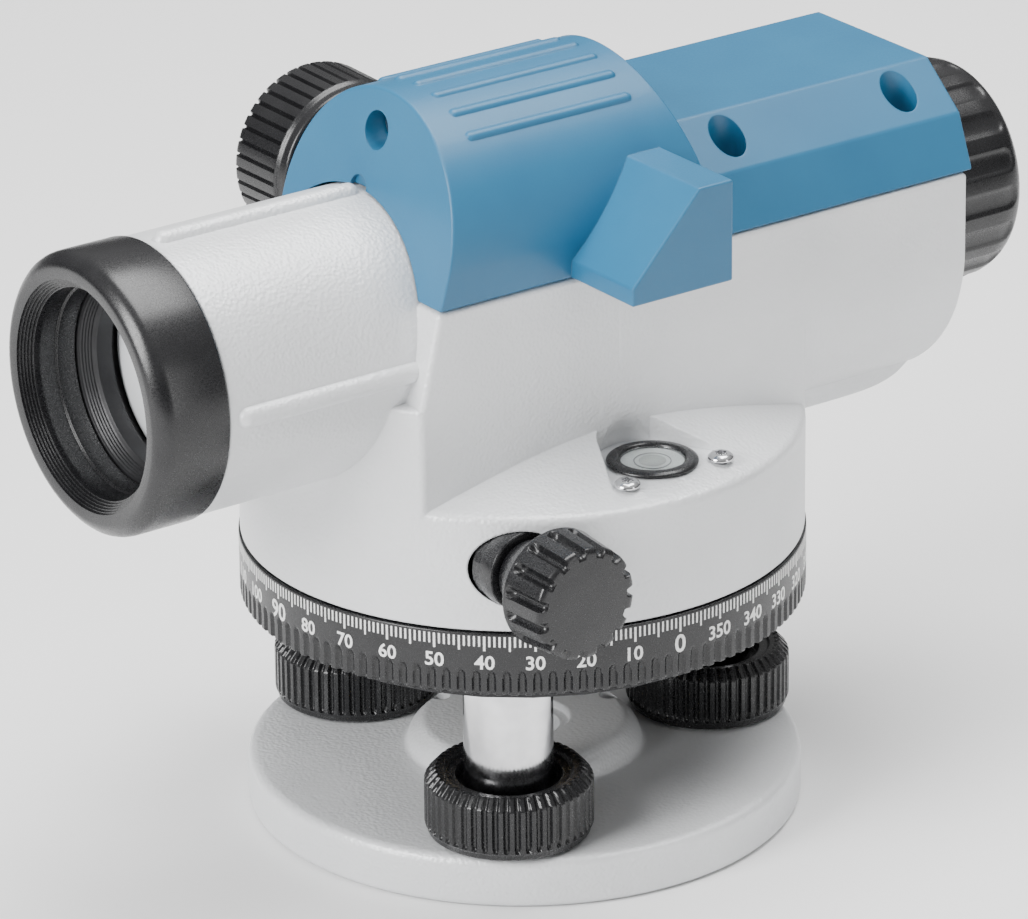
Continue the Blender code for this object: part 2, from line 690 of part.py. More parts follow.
def lens_profile(radius, front, thickness, bulge):
    """Biconvex lens: its front pole, edge and rear pole along the axis."""
    rear = front + thickness
    rear_face = [(radius * step / 3, rear - bulge * (step / 3) ** 2) for step in range(4)]
    front_face = [(radius * step / 3, front + bulge * (step / 3) ** 2) for step in range(3, -1, -1)]
    return rear_face + front_face


def focus_fixed_parts():
    """Guide sleeve for the focusing carriage, and the bush of the focus shaft."""
    axis_place = (0, 0, AXIS_Z)
    guide = turned("focus_guide", [
        (14.4, 16), (16.4, 16), (16.4, -33), (24.6, -33), (24.6, -36), (14.4, -36),
    ], "X", axis_place, 28, closed=True)
    cut(guide, box("guide_slot", (-34.9, 8, AXIS_Z + 2), (20, 20, AXIS_Z + 12)))
    bush = turned("focus_bush", [
        (2.9, 39.4), (6.2, 39.4), (6.2, 33.4), (6.2, 26.5), (2.9, 26.5),
    ], "Y", (FOCUS_X, 0, FOCUS_Z), 24, closed=True)
    return [finish(guide, "black_metal"), finish(bush, "black_plastic")]


def focus_carriage_parts():
    """Sliding cell of the focusing lens, with its arm and rack."""
    axis_place = (0, 0, AXIS_Z)
    cell = ring("focus_carriage", 14.1, 10.6, -22, -2, "X", axis_place, 28)
    arm = box("rack_arm", (-24, 11.5, 115.0), (4, 19.5, 119.2))
    join(cell, arm)
    cut(cell, rod("cell_bore", 10.6, -30, 10, "X", axis_place, 28))
    lens = turned("focusing_lens", lens_profile(10.3, -14, 4.0, 0.9), "X", axis_place, 16)
    rack_outline = [(-25, 119.5), (6, 119.5), (6, 121.6)]
    rack_outline += [(6 - 1.55 * step, 121.6 + 0.9 * (step % 2)) for step in range(1, 20)]
    rack_outline += [(-25, 121.6)]
    rack = plate("focus_rack", rack_outline, "Y", 14.0, 19.0)
    return [finish(cell, "brass"), finish(lens, "glass"), finish(rack, "brass")]


def focus_knob_parts():
    """Knob, shaft and pinion turn as one about an axis along Y."""
    centre = (FOCUS_X, 0, FOCUS_Z)
    shaft = turned("focus_shaft", [(0, 54), (2.5, 54), (2.5, 12.5), (0, 12.5)], "Y", centre,
                   segments=12)
    teeth = fluted_outline(3.2, 0.6, 12, (FOCUS_X, FOCUS_Z))
    pinion = plate("focus_pinion", teeth, "Y", 13.5, 19.5)
    join(shaft, pinion)
    outline = fluted_outline(FOCUS_KNOB_RADIUS, 0.8, 30, (FOCUS_X, FOCUS_Z))
    knob = plate("focus_knob", outline, "Y", FOCUS_KNOB_INNER, FOCUS_KNOB_OUTER)
    cut(knob, rod("knob_bore", 2.8, 30, 54.3, "Y", centre, 20))
    return [finish(shaft, "steel"), finish(knob, "black_plastic")]


# ---- Compensator --------------------------------------------------------------------------

def compensator_parts():
    """Frame, fixed prisms and damper of the compensator, and the tapes its pendulum hangs on."""
    frame = box("compensator_frame", (33, -16.7, 90.4), (65, 16.7, 135))
    cut(frame, box("frame_room", (30, -14.6, 93.2), (70, 14.6, 132.2)))
    pieces = [finish(frame, "black_metal")]
    for title, low, high in (("entry_prism", 34.5, 40.5), ("exit_prism", 57.5, 63.5)):
        prism = box(title, (low, -14.2, 100), (high, 14.2, 124))
        pieces.append(finish(prism, "glass"))
    magnet = box("damper_magnet", (44, -7, 93.5), (54, 7, 99.5))
    cut(magnet, box("magnet_gap", (40, -1.4, 95.5), (58, 1.4, 105)))
    pieces.append(finish(magnet, "steel"))
    for title, y in (("suspension_tape_near", -8.0), ("suspension_tape_far", 8.0)):
        tape = box(title, (48.7, y - 2, 128.3), (49.3, y + 2, 131.9))
        pieces.append(finish(tape, "steel"))
    return pieces


def pendulum_parts():
    body = box("pendulum", (45.0, -11.5, 101.5), (53.0, 11.5, 128.0))
    cut(body, box("pendulum_window", (40, -8.5, 104.5), (60, 8.5, 121.0)))
    vane = box("damper_vane", (45.5, -0.8, 96.5), (52.5, 0.8, 103))
    join(body, vane)
    prism = box("pendulum_prism", (45.6, -8.2, 104.8), (52.4, 8.2, 120.7))
    return [finish(body, "brass"), finish(prism, "glass")]


# ---- Eyepiece -----------------------------------------------------------------------------

def eyepiece_fixed_parts():
    axis_place = (0, 0, AXIS_Z)
    mount = ring("eyepiece_mount", 13.7, 11.3, 70, 97, "X", axis_place, 20)
    cell = ring("reticle_cell", 11.0, 7.0, 74, 78, "X", axis_place, 20)
    reticle = rod("reticle", 6.7, 75, 76.5, "X", axis_place, 24)
    return [finish(mount, "black_metal"), finish(cell, "brass"), finish(reticle, "glass")]


def eyepiece_ring():
    ring_profile = [
        (11.4, EYE_REAR), (16.5, EYE_REAR), (19.8, EYE_REAR - 1.0), (22.0, EYE_REAR - 2.6),
        (23.2, EYE_REAR - 4.6), (EYE_RADIUS, EYE_REAR - 8), (EYE_RADIUS, EYE_FRONT + 3),
        (22.2, EYE_FRONT),
        (14.1, EYE_FRONT), (14.1, 97.4), (11.4, 97.4),
    ]
    turned_ring = turned("eyepiece_ring", ring_profile, "X", (0, 0, AXIS_Z), 28, closed=True)
    return finish(turned_ring, "black_plastic")


def eyepiece_barrel_parts():
    axis_place = (0, 0, AXIS_Z)
    barrel = turned("eyepiece_barrel", [
        (6.0, 108.5), (11.0, 108.5), (11.0, 82), (8.6, 82), (8.6, 101), (7.6, 103.5),
        (7.6, 106.5), (6.0, 106.5),
    ], "X", axis_place, 20, closed=True)
    lens = turned("eyepiece_lens", lens_profile(7.3, 102.2, 4.0, 0.9), "X", axis_place, 16)
    return [finish(barrel, "black_metal"), finish(lens, "glass")]


# ---- Assembly -----------------------------------------------------------------------------

def build():
    base_plate()
    retaining_spring()
    levelling_head()
    axis_bush()
    clutch_washer()
    for number, angle in enumerate(FOOT_ANGLES, 1):
        foot_sleeve(number, angle)
        pivot(f"foot_axis_{number}", foot_centre(angle), foot_screw(number, angle))
    pivot("circle_axis", (0, 0, CIRCLE_BOTTOM), [horizontal_circle()])
    wheel_axis = pivot("wheel_axis", (0, 0, DRIVE_Z), [worm_wheel()])

    alidade = [main_housing(), vertical_spindle(), spindle_nut(), top_cover(), vial_mirror()]
    alidade += vial_parts() + cover_screws() + objective_parts() + focus_fixed_parts()
    alidade += compensator_parts() + eyepiece_fixed_parts()
    alidade += [drive_bush("drive_bush_near", -1), drive_bush("drive_bush_far", 1)]

    worm = pivot("worm_axis", (DRIVE_X, 0, DRIVE_Z), [
        drive_shaft(), drive_knob("drive_knob_near", -1), drive_knob("drive_knob_far", 1)])
    focus = pivot("focus_axis", (FOCUS_X, 0, FOCUS_Z), focus_knob_parts())
    carriage = pivot("carriage_axis", (-12, 0, AXIS_Z), focus_carriage_parts())
    pendulum = pivot("pendulum_axis", (49, 0, 130.1), pendulum_parts())
    eyepiece = pivot("eyepiece_axis", (100, 0, AXIS_Z), [eyepiece_ring()])
    barrel = pivot("barrel_axis", (95, 0, AXIS_Z), eyepiece_barrel_parts())
    alidade += [worm, focus, carriage, pendulum, eyepiece, barrel]
    alidade_axis = pivot("alidade_axis", (0, 0, DRUM_BOTTOM), alidade)
    pivot("azimuth_axis", (0, 0, 0), [wheel_axis, alidade_axis])


build()
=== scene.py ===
"""Looks of an automatic level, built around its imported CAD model.

Lengths are in millimetres, and the helpers turn them into metres. +Z is up, the telescope lies
along X with its objective at -X, and the side with the circular level faces -Y.
"""

import json
import math

import bmesh
import bpy
from mathutils import Matrix, Vector


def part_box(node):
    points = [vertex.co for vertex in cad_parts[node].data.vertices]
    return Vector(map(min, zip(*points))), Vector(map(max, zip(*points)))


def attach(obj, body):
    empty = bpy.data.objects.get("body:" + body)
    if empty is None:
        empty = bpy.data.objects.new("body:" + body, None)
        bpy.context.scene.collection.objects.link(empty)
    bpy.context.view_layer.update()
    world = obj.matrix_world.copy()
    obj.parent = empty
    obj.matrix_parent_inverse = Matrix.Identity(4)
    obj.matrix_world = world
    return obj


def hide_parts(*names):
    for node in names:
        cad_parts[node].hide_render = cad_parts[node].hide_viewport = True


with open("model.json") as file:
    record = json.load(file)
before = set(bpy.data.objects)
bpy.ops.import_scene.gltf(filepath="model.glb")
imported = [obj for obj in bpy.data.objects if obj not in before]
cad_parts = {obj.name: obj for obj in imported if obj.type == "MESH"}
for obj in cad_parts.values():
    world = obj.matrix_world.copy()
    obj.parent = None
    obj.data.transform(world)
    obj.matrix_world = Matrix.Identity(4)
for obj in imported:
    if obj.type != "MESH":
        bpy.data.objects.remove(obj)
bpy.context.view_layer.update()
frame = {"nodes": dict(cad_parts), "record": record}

MM = 0.001
GAP = 0.3


def span(node):
    """Lowest and highest corner of a CAD node, in millimetres."""
    low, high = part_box(node)
    return low / MM, high / MM


BASE_RADIUS = span("base_plate")[1].x
BOSS_TOP = span("base_plate")[1].z
BASE_HEIGHT = BOSS_TOP - 5.3
KNOB_LOW, KNOB_HIGH = span("foot_knob_1")
CIRCLE_LOW, CIRCLE_HIGH = span("horizontal_circle")
CIRCLE_RADIUS = CIRCLE_HIGH.x
HOUSING_LOW, HOUSING_HIGH = span("main_housing")
COVER_LOW, COVER_HIGH = span("top_cover")
HOOD_LOW, HOOD_HIGH = span("objective_hood")
AXIS_Z = (HOOD_LOW.z + HOOD_HIGH.z) / 2
TELESCOPE = (0, 0, AXIS_Z)
FOCUS_LOW, FOCUS_HIGH = span("focus_knob")
FOCUS_AXIS = ((FOCUS_LOW.x + FOCUS_HIGH.x) / 2, 0, (FOCUS_LOW.z + FOCUS_HIGH.z) / 2)
DRIVE_LOW, DRIVE_HIGH = span("drive_shaft")
DRIVE_AXIS = ((DRIVE_LOW.x + DRIVE_HIGH.x) / 2, 0, (DRIVE_LOW.z + DRIVE_HIGH.z) / 2)
DRIVE_KNOB_INNER = 56.2
DRIVE_KNOB_OUTER = span("drive_knob_far")[1].y
VIAL_LOW, VIAL_HIGH = span("vial_bezel")
VIAL = ((VIAL_LOW.x + VIAL_HIGH.x) / 2, (VIAL_LOW.y + VIAL_HIGH.y) / 2)
EYE_LOW, EYE_HIGH = span("eyepiece_ring")

# Base and graduated circle
BOSS_RADIUS = 24.3
BOSS_HOLE_ANGLES = (113.5, 233.5, 353.5)
BOSS_HOLE_CIRCLE = 20.0
TRIPOD_BORE = 7.2
TRIPOD_MOUTH = 9.3
RECESS_RADII = (12, 49)       # hollow in the base plate's underside
RECESS_HEIGHT = 2.8
FLUTE_TOP = 51.8
TICK_TOP = 59.35
TICK_WIDTH = 0.40
MARK_RISE = 0.03              # how far the dial's marks stand out
DIAL_ZERO = 266.65            # plan angle of the dial's 0
NUMBER_MIDDLE = 53.75

# Housing and cover
DRUM_RADIUS = 57.4
DRUM_BOTTOM = HOUSING_LOW.z
DRUM_RIM = 84.0
CONE_SLOPE = 0.30
SIDE_Y = COVER_HIGH.y
CREASE_Z = 105.6
PARTING_Z = COVER_LOW.z - 0.15
FRONT_X = -47.1
FRONT_LEAN = 0.24
REAR_X = HOUSING_HIGH.x
BELLY_RADIUS = 33.0
BELLY_Z = 107.3
KEEL_BOTTOM = 74.0
KEEL_HALF = 16.0
TUBE_RADIUS = 27.9
TUBE_BORE = 24.9
TUBE_FRONT = HOUSING_LOW.x
TUBE_REAR = -20.0
TUBE_RIB_RADIUS = 2.2
TUBE_RIB_FRONT = -86.3
DOME_TOP = 160.6
DOME_RADIUS = 28.7
DOME_Y = -4.5
DOME_FLANGE_TOP = 126.4
DOME_REAR_TOP = 15.7
DOME_REAR_LEAN = -0.29
DOME_RIB_ANGLES = (-37.5, -25, -12.5, 0, 12.5, 25, 37.5)
DOME_RIB_ENDS = (-28.5, 11.6)
DOME_RIB_RADIUS = 1.35
DOME_RIB_SINK = 0.72          # depth of a rib's axis below the dome's surface
COVER_TOP = 145.2
COVER_SHOULDER = 136.1
COVER_SHOULDER_HALF = 28.4
COVER_FLAT_HALF = 17.8
COVER_REAR = COVER_HIGH.x
WALL = 2.4
HOUSING_WALL = 4.2
ROOM_REAR = 83.4
MIRROR_HOOD_Y = COVER_LOW.y
HOOD_TOP = 145.8
HOOD_ENDS = (-11.2, 13.1)
SCREW_XS = (35.0, 78.7)
SCREW_Y = 22.4
SCREW_POST = 5.1
FRONT_SCREW = (-2.6, 152.3)
SCREW_WELL = 3.8
STAR_RADIUS = 1.6
VIAL_FLOOR = VIAL_HIGH.z - 2.0
VIAL_SCREW_X = 11.5
VIAL_SCREW_Y = -49.3

AXES = {
    "X": Matrix(((0, 0, 1), (1, 0, 0), (0, 1, 0))),     # across, up, along are Y, Z, X
    "Y": Matrix(((1, 0, 0), (0, 0, 1), (0, 1, 0))),     # across, up, along are X, Z, Y
    "Z": Matrix.Identity(3),                            # across, up, along are X, Y, Z
}


# ---- Mesh helpers -------------------------------------------------------------------------

def placed(axis, centre, across, up, along):
    """Point given by its places across, up and along an axis through a centre, in metres."""
    return (AXES[axis] @ Vector((across, up, along)) + Vector(centre)) * MM


def as_object(name, shape):
    bmesh.ops.recalc_face_normals(shape, faces=shape.faces)
    mesh = bpy.data.meshes.new(name)
    shape.to_mesh(mesh)
    shape.free()
    obj = bpy.data.objects.new(name, mesh)
    bpy.context.scene.collection.objects.link(obj)
    return obj


def eased(points, reach, closed=True, steps=3):
    """The same line with its corners rounded off over a reach, one for all or one for each."""
    result = []
    count = len(points)
    for index, corner in enumerate(points):
        here = reach[index] if isinstance(reach, (list, tuple)) else reach
        if here == 0 or (not closed and index in (0, count - 1)):
            result.append(corner)
            continue
        before = points[index - 1] - corner
        after = points[(index + 1) % count] - corner
        start = corner + before.normalized() * min(here, before.length * 0.45)
        end = corner + after.normalized() * min(here, after.length * 0.45)
        for step in range(steps + 1):
            share = step / steps
            result.append(start * (1 - share) ** 2 + corner * 2 * share * (1 - share) + end * share ** 2)
    return result


def divided(points, longest, closed):
    """The same line with points added, so that no stretch is longer than the given length."""
    result = []
    count = len(points)
    for index, point in enumerate(points):
        result.append(point)
        if index == count - 1 and not closed:
            break
        following = points[(index + 1) % count]
        pieces = max(1, math.ceil((following - point).length / longest))
        result += [point.lerp(following, part / pieces) for part in range(1, pieces)]
    return result


def lathe(name, profile, axis="Z", centre=(0, 0, 0), segments=96, reach=0.3, relief=None, fine=None):
    """Turned shape from (radius, place along the axis) pairs.

    relief(angle, radius, along) says how far the surface is cut in at a place.
    """
    closed = not (profile[0][0] == 0 and profile[-1][0] == 0)
    line = eased([Vector(pair) for pair in profile], reach, closed)
    if fine:
        line = divided(line, fine, closed)
    shape = bmesh.new()
    rings = []
    for radius, along in line:
        if radius < 0.0001:
            rings.append([shape.verts.new(placed(axis, centre, 0, 0, along))])
            continue
        verts = []
        for index in range(segments):
            angle = 2 * math.pi * index / segments
            depth = relief(angle, radius, along) if relief else 0
            across, up = (radius - depth) * math.cos(angle), (radius - depth) * math.sin(angle)
            verts.append(shape.verts.new(placed(axis, centre, across, up, along)))
        rings.append(verts)
    pairs = list(zip(rings, rings[1:]))
    if closed:
        pairs.append((rings[-1], rings[0]))
    for first, second in pairs:
        for index in range(segments):
            corners = [first[index % len(first)], first[(index + 1) % len(first)],
                       second[(index + 1) % len(second)], second[index % len(second)]]
            corners = list(dict.fromkeys(corners))
            if len(corners) > 2:
                shape.faces.new(corners)
    return as_object(name, shape)


def slots(count, share, depth, low, high, least_radius=0.0, open_low=False, open_high=False):
    """Relief of round-bottomed slots along a turned piece. Their ends are round unless open."""
    def relief(angle, radius, along):
        if radius < least_radius:
            return 0.0
        pitch = 2 * math.pi / count
        half = share * pitch * radius / 2
        offset = abs((angle / pitch + 0.5) % 1 - 0.5) * pitch * radius
        beyond = 0.0
        if not open_low:
            beyond = max(beyond, low + half - along)
        if not open_high:
            beyond = max(beyond, along - high + half)
        inside = half - math.hypot(offset, beyond)
        if inside <= 0:
            return 0.0
        rest = 1 - min(1.0, inside / half)
        return depth * math.sqrt(1 - rest * rest)
    return relief


def rod(name, radius, low, high, axis="Z", centre=(0, 0, 0), segments=64, reach=0):
    profile = [(0, high), (radius, high), (radius, low), (0, low)]
    return lathe(name, profile, axis, centre, segments, reach)


def ring(name, outer, inner, low, high, axis="Z", centre=(0, 0, 0), segments=96, reach=0.3):
    profile = [(inner, high), (outer, high), (outer, low), (inner, low)]
    return lathe(name, profile, axis, centre, segments, reach)


def arc(centre, radius, start, end, steps):
    points = []
    for index in range(steps + 1):
        angle = math.radians(start + (end - start) * index / steps)
        points.append((centre[0] + radius * math.cos(angle), centre[1] + radius * math.sin(angle)))
    return points


def prism(name, outline, axis, low, high, reach=0, shift=None, steps=3):
    """Flat outline with a thickness. Its sharp edges are rounded off over the reach."""
    shape = bmesh.new()
    lower = [shape.verts.new(placed(axis, (0, 0, 0), across, up, low)) for across, up in outline]
    upper = [shape.verts.new(placed(axis, (0, 0, 0), across, up, high)) for across, up in outline]
    shape.faces.new(lower)
    shape.faces.new(upper)
    count = len(outline)
    for index in range(count):
        following = (index + 1) % count
        shape.faces.new([lower[index], lower[following], upper[following], upper[index]])
    if shift:
        for vert in shape.verts:
            vert.co = shift(vert.co / MM) * MM
    bmesh.ops.recalc_face_normals(shape, faces=shape.faces)
    if reach:
        sharp = [edge for edge in shape.edges if edge.calc_face_angle(0) > math.radians(22)]
        bmesh.ops.bevel(shape, geom=sharp, offset=reach * MM, segments=steps, profile=0.5,
                        affect="EDGES", clamp_overlap=True)
    return as_object(name, shape)


def block(name, low, high, reach=0):
    outline = [(low[0], low[1]), (high[0], low[1]), (high[0], high[1]), (low[0], high[1])]
    return prism(name, outline, "Z", low[2], high[2], reach)


def carve(target, operation, *tools):
    """Adds or cuts away the tools, which are used up."""
    for tool in tools:
        step = target.modifiers.new(tool.name, "BOOLEAN")
        step.operation = operation
        step.solver = "EXACT"
        step.object = tool
    graph = bpy.context.evaluated_depsgraph_get()
    mesh = bpy.data.meshes.new_from_object(target.evaluated_get(graph))
    target.modifiers.clear()
    target.data = mesh
    for tool in tools:
        bpy.data.objects.remove(tool, do_unlink=True)
    return target


# ---- Materials ----------------------------------------------------------------------------

class Nodes:
    """Small wrapper that adds and links shader nodes."""

    def __init__(self, title):
        self.material = bpy.data.materials.new(title)
        self.material.use_nodes = True
        self.tree = self.material.node_tree
        self.shader = self.tree.nodes["Principled BSDF"]
        self.place = self.add("ShaderNodeTexCoord").outputs["Object"]

    def add(self, kind, **settings):
        node = self.tree.nodes.new(kind)
        for key, value in settings.items():
            setattr(node, key, value)
        return node

    def link(self, source, target):
        self.tree.links.new(source, target)

    def noise(self, size, detail=3.0, stretch=(1, 1, 1)):
        mapping = self.add("ShaderNodeMapping")
        mapping.inputs["Scale"].default_value = stretch
        self.link(self.place, mapping.inputs["Vector"])
        node = self.add("ShaderNodeTexNoise")
        node.inputs["Scale"].default_value = 1 / (size * MM)
        node.inputs["Detail"].default_value = detail
        self.link(mapping.outputs["Vector"], node.inputs["Vector"])
        return node.outputs["Fac"]

    def cells(self, size):
        node = self.add("ShaderNodeTexVoronoi", feature="SMOOTH_F1")
        node.inputs["Scale"].default_value = 1 / (size * MM)
        self.link(self.place, node.inputs["Vector"])
        return node.outputs["Distance"]

    def ranged(self, source, low, high, start=0.3, end=0.7):
        node = self.add("ShaderNodeMapRange")
        node.inputs["From Min"].default_value = start
        node.inputs["From Max"].default_value = end
        node.inputs["To Min"].default_value = low
        node.inputs["To Max"].default_value = high
        self.link(source, node.inputs["Value"])
        return node.outputs["Result"]

    def mixed(self, share, first, second):
        node = self.add("ShaderNodeMix", data_type="RGBA")
        node.inputs["A"].default_value = (*first, 1)
        node.inputs["B"].default_value = (*second, 1)
        self.link(share, node.inputs["Factor"])
        return node.outputs["Result"]

    def bump(self, height, depth, before=None):
        node = self.add("ShaderNodeBump")
        node.inputs["Strength"].default_value = 1.0
        node.inputs["Distance"].default_value = depth * MM
        self.link(height, node.inputs["Height"])
        if before:
            self.link(before, node.inputs["Normal"])
        return node.outputs["Normal"]

    def eased_edges(self, radius):
        node = self.add("ShaderNodeBevel", samples=4)
        node.inputs["Radius"].default_value = radius * MM
        return node.outputs["Normal"]

    def set(self, **values):
        for key, value in values.items():
            self.shader.inputs[key.replace("_", " ")].default_value = value


def surface(title, dark, light, roughness, metallic=0.0, patch=9.0, grain=0.5, depth=0.01,
            leather=None, stretch=(1, 1, 1), edge=0.0, **extra):
    """Painted, moulded or machined surface: soft patches of colour and polish over a fine grain."""
    nodes = Nodes(title)
    patches = nodes.noise(patch, 4.0)
    nodes.link(nodes.mixed(nodes.ranged(patches, 0, 1), dark, light), nodes.shader.inputs["Base Color"])
    fine = nodes.noise(grain, 4.0, stretch)
    rough = nodes.ranged(fine, roughness[0], roughness[1])
    nodes.link(rough, nodes.shader.inputs["Roughness"])
    normal = nodes.eased_edges(edge) if edge else None
    if leather:
        size, height = leather
        normal = nodes.bump(nodes.cells(size), height, normal)
    normal = nodes.bump(fine, depth, normal)
    nodes.link(normal, nodes.shader.inputs["Normal"])
    nodes.set(Metallic=metallic, **extra)
    return nodes.material


def clear(title, colour, roughness, **extra):
    """Glass or fluid with faint smears in its polish."""
    nodes = Nodes(title)
    smears = nodes.noise(6.0, 2.0)
    nodes.link(nodes.ranged(smears, roughness, roughness * 2.5), nodes.shader.inputs["Roughness"])
    nodes.link(nodes.mixed(smears, colour, [0.96 * part for part in colour]),
               nodes.shader.inputs["Base Color"])
    nodes.set(**extra)
    return nodes.material


MATERIALS = {
    "silver_paint": surface("silver_paint", (0.66, 0.67, 0.68), (0.73, 0.74, 0.75), (0.34, 0.48), 0.2,
                            patch=30, grain=0.28, depth=0.016, leather=(0.75, 0.12), edge=0.5),
    "blue_paint": surface("blue_paint", (0.014, 0.118, 0.235), (0.018, 0.136, 0.262), (0.34, 0.46),
                          patch=25, grain=0.45, depth=0.012, edge=0.4),
    "black_plastic": surface("black_plastic", (0.006, 0.006, 0.007), (0.011, 0.011, 0.012), (0.22, 0.36),
                             patch=6, grain=0.35, depth=0.008),
    "black_metal": surface("black_metal", (0.012, 0.012, 0.013), (0.024, 0.024, 0.026), (0.35, 0.5), 0.4,
                           patch=7, grain=0.2, depth=0.004),
    "chrome": surface("chrome", (0.62, 0.62, 0.63), (0.74, 0.74, 0.75), (0.10, 0.22), 1.0,
                      patch=4, grain=1.3, depth=0.004),
    "steel": surface("steel", (0.46, 0.46, 0.47), (0.58, 0.58, 0.59), (0.22, 0.36), 1.0,
                     patch=3, grain=0.3, depth=0.003, stretch=(1, 1, 6)),
    "brass": surface("brass", (0.60, 0.42, 0.17), (0.72, 0.52, 0.22), (0.25, 0.4), 1.0,
                     patch=4, grain=0.3, depth=0.003, stretch=(1, 1, 6)),
    "glass": clear("glass", (0.93, 0.96, 0.97), 0.015, Transmission_Weight=1.0, IOR=1.52),
    "mirror": surface("mirror", (0.86, 0.87, 0.88), (0.91, 0.92, 0.93), (0.02, 0.05), 1.0,
                      patch=8, grain=4, depth=0.0005),
    "level_fluid": clear("level_fluid", (0.86, 0.90, 0.62), 0.03, Transmission_Weight=0.9, IOR=1.36),
}
# Objective lens glass: the clear coat is real, but the pale grey, mostly opaque base colour with little
# transmission is a painted reflection of the bright surroundings in the lens.
LENS_GLASS_PAINTED_REFLECTION = clear("lens_glass_painted_reflection", (0.84, 0.86, 0.88), 0.02, Transmission_Weight=0.12, IOR=1.6,
                     Coat_Weight=0.6)
GRADUATION_WHITE = surface("graduation_white", (0.78, 0.78, 0.77), (0.88, 0.88, 0.87), (0.4, 0.55),
                           patch=5, grain=0.2, depth=0.002)
VIAL_WHITE = surface("vial_white", (0.84, 0.85, 0.82), (0.88, 0.89, 0.86), (0.2, 0.3), patch=5,
                     grain=0.4, depth=0.001)
VIAL_MARK = surface("vial_mark", (0.05, 0.05, 0.05), (0.09, 0.09, 0.09), (0.3, 0.4), patch=3,
                    grain=0.2, depth=0.001)
BUBBLE = clear("bubble_air", (0.97, 0.98, 0.94), 0.01, Transmission_Weight=0.6, IOR=1.25)


def complete(obj, material, slot, body, *nodes, sharp=35, weighted=False):
    """Smooths and paints a finished piece and fastens it to its body."""
    obj.data.shade_smooth()
    obj.data.set_sharp_from_angle(angle=math.radians(sharp))
    obj.data.materials.clear()
    obj.data.materials.append(material)
    if weighted:
        step = obj.modifiers.new("normals", "WEIGHTED_NORMAL")
        step.keep_sharp = True
    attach(obj, body)
    if nodes:
        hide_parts(*nodes)
    return obj


def made_of(slot, obj, body, *nodes, **settings):
    return complete(obj, MATERIALS[slot], slot, body, *nodes, **settings)


# ---- Base, foot screws and horizontal circle ----------------------------------------------

def foot_places():
    """Number and plan centre of each foot screw."""
    places = []
    for number in (1, 2, 3):
        low, high = span(f"foot_knob_{number}")
        places.append((number, ((low.x + high.x) / 2, (low.y + high.y) / 2, 0)))
    return places


def base_casting():
    ledge = BOSS_TOP - 1.6
    inner, outer = RECESS_RADII
    profile = [
        (TRIPOD_BORE, ledge), (TRIPOD_MOUTH, ledge), (TRIPOD_MOUTH, BOSS_TOP),
        (BOSS_RADIUS - 3.2, BOSS_TOP), (BOSS_RADIUS - 0.6, BOSS_TOP - 2.6), (BOSS_RADIUS, BASE_HEIGHT),
        (BASE_RADIUS, BASE_HEIGHT), (BASE_RADIUS, 0), (outer, 0), (outer, RECESS_HEIGHT),
        (inner, RECESS_HEIGHT), (inner, 0), (TRIPOD_BORE, 0),
    ]
    reaches = [0.2, 0.2, 0.6, 1.2, 1.2, 1.0, 2.2, 1.6, 0.4, 0.4, 0.4, 0.4, 0.4]
    casting = lathe("base_casting", profile, segments=160, reach=reaches)
    trims = []
    for _, place in foot_places():
        trims.append(rod("foot_hole", 3.7, 1, 20, centre=place, segments=32))
    for angle in BOSS_HOLE_ANGLES:
        turn = math.radians(angle)
        place = (BOSS_HOLE_CIRCLE * math.cos(turn), BOSS_HOLE_CIRCLE * math.sin(turn), 0)
        trims.append(rod("boss_hole", 1.9, BOSS_TOP - 3.5, 20, centre=place, segments=24))
    carve(casting, "DIFFERENCE", *trims)
    made_of("silver_paint", casting, "base", "base_plate", weighted=True)


def foot_pieces():
    """Black fluted knobs on bright posts."""
    low, high = KNOB_LOW.z, KNOB_HIGH.z
    outer = 17.0
    for number, place in foot_places():
        profile = [
            (5.4, 20.3), (10.7, 20.3), (10.7, high - 1.4), (12.6, high - 1.4), (12.9, high - 0.5),
            (14.3, high - 0.3), (14.9, high), (outer, high - 2.3), (outer, low + 1.7),
            (outer - 0.3, low + 1.3), (outer - 0.6, low), (5.4, low),
        ]
        relief = slots(48, 0.52, 0.75, low + 1.7, high, least_radius=14.6, open_high=True)
        knob = lathe(f"fluted_knob_{number}", profile, centre=place, segments=480, reach=0.35,
                     relief=relief, fine=1.2)
        made_of("black_plastic", knob, f"foot_screw_{number}", f"foot_knob_{number}", sharp=60)
        sleeve_low, sleeve_high = span(f"foot_sleeve_{number}")
        radius = (sleeve_high.x - sleeve_low.x) / 2
        post = ring(f"bright_post_{number}", radius, 5.3, sleeve_low.z, sleeve_high.z, centre=place,
                    reach=0.6)
        made_of("chrome", post, "base", f"foot_sleeve_{number}")


def graduated_circle():
    inner = 44.2
    low, high = CIRCLE_LOW.z, CIRCLE_HIGH.z
    profile = [(inner, high), (CIRCLE_RADIUS, high), (CIRCLE_RADIUS, low), (inner, low)]
    relief = slots(120, 0.56, 0.75, low, FLUTE_TOP, least_radius=CIRCLE_RADIUS - 1, open_low=True)
    dial = lathe("circle_ring", profile, segments=1200, reach=[0.2, 0.35, 0.6, 0.3], relief=relief,
                 fine=0.5)
    merge = bmesh.new()
    merge.from_mesh(dial.data)
    flat = [edge for edge in merge.edges if edge.calc_face_angle(1) < 0.0001
            and min(math.hypot(*vert.co.xy) for vert in edge.verts) < (CIRCLE_RADIUS - 1.2) * MM]
    bmesh.ops.dissolve_edges(merge, edges=flat, use_verts=True)
    merge.to_mesh(dial.data)
    merge.free()
    made_of("black_plastic", dial, "circle", "horizontal_circle", sharp=60)


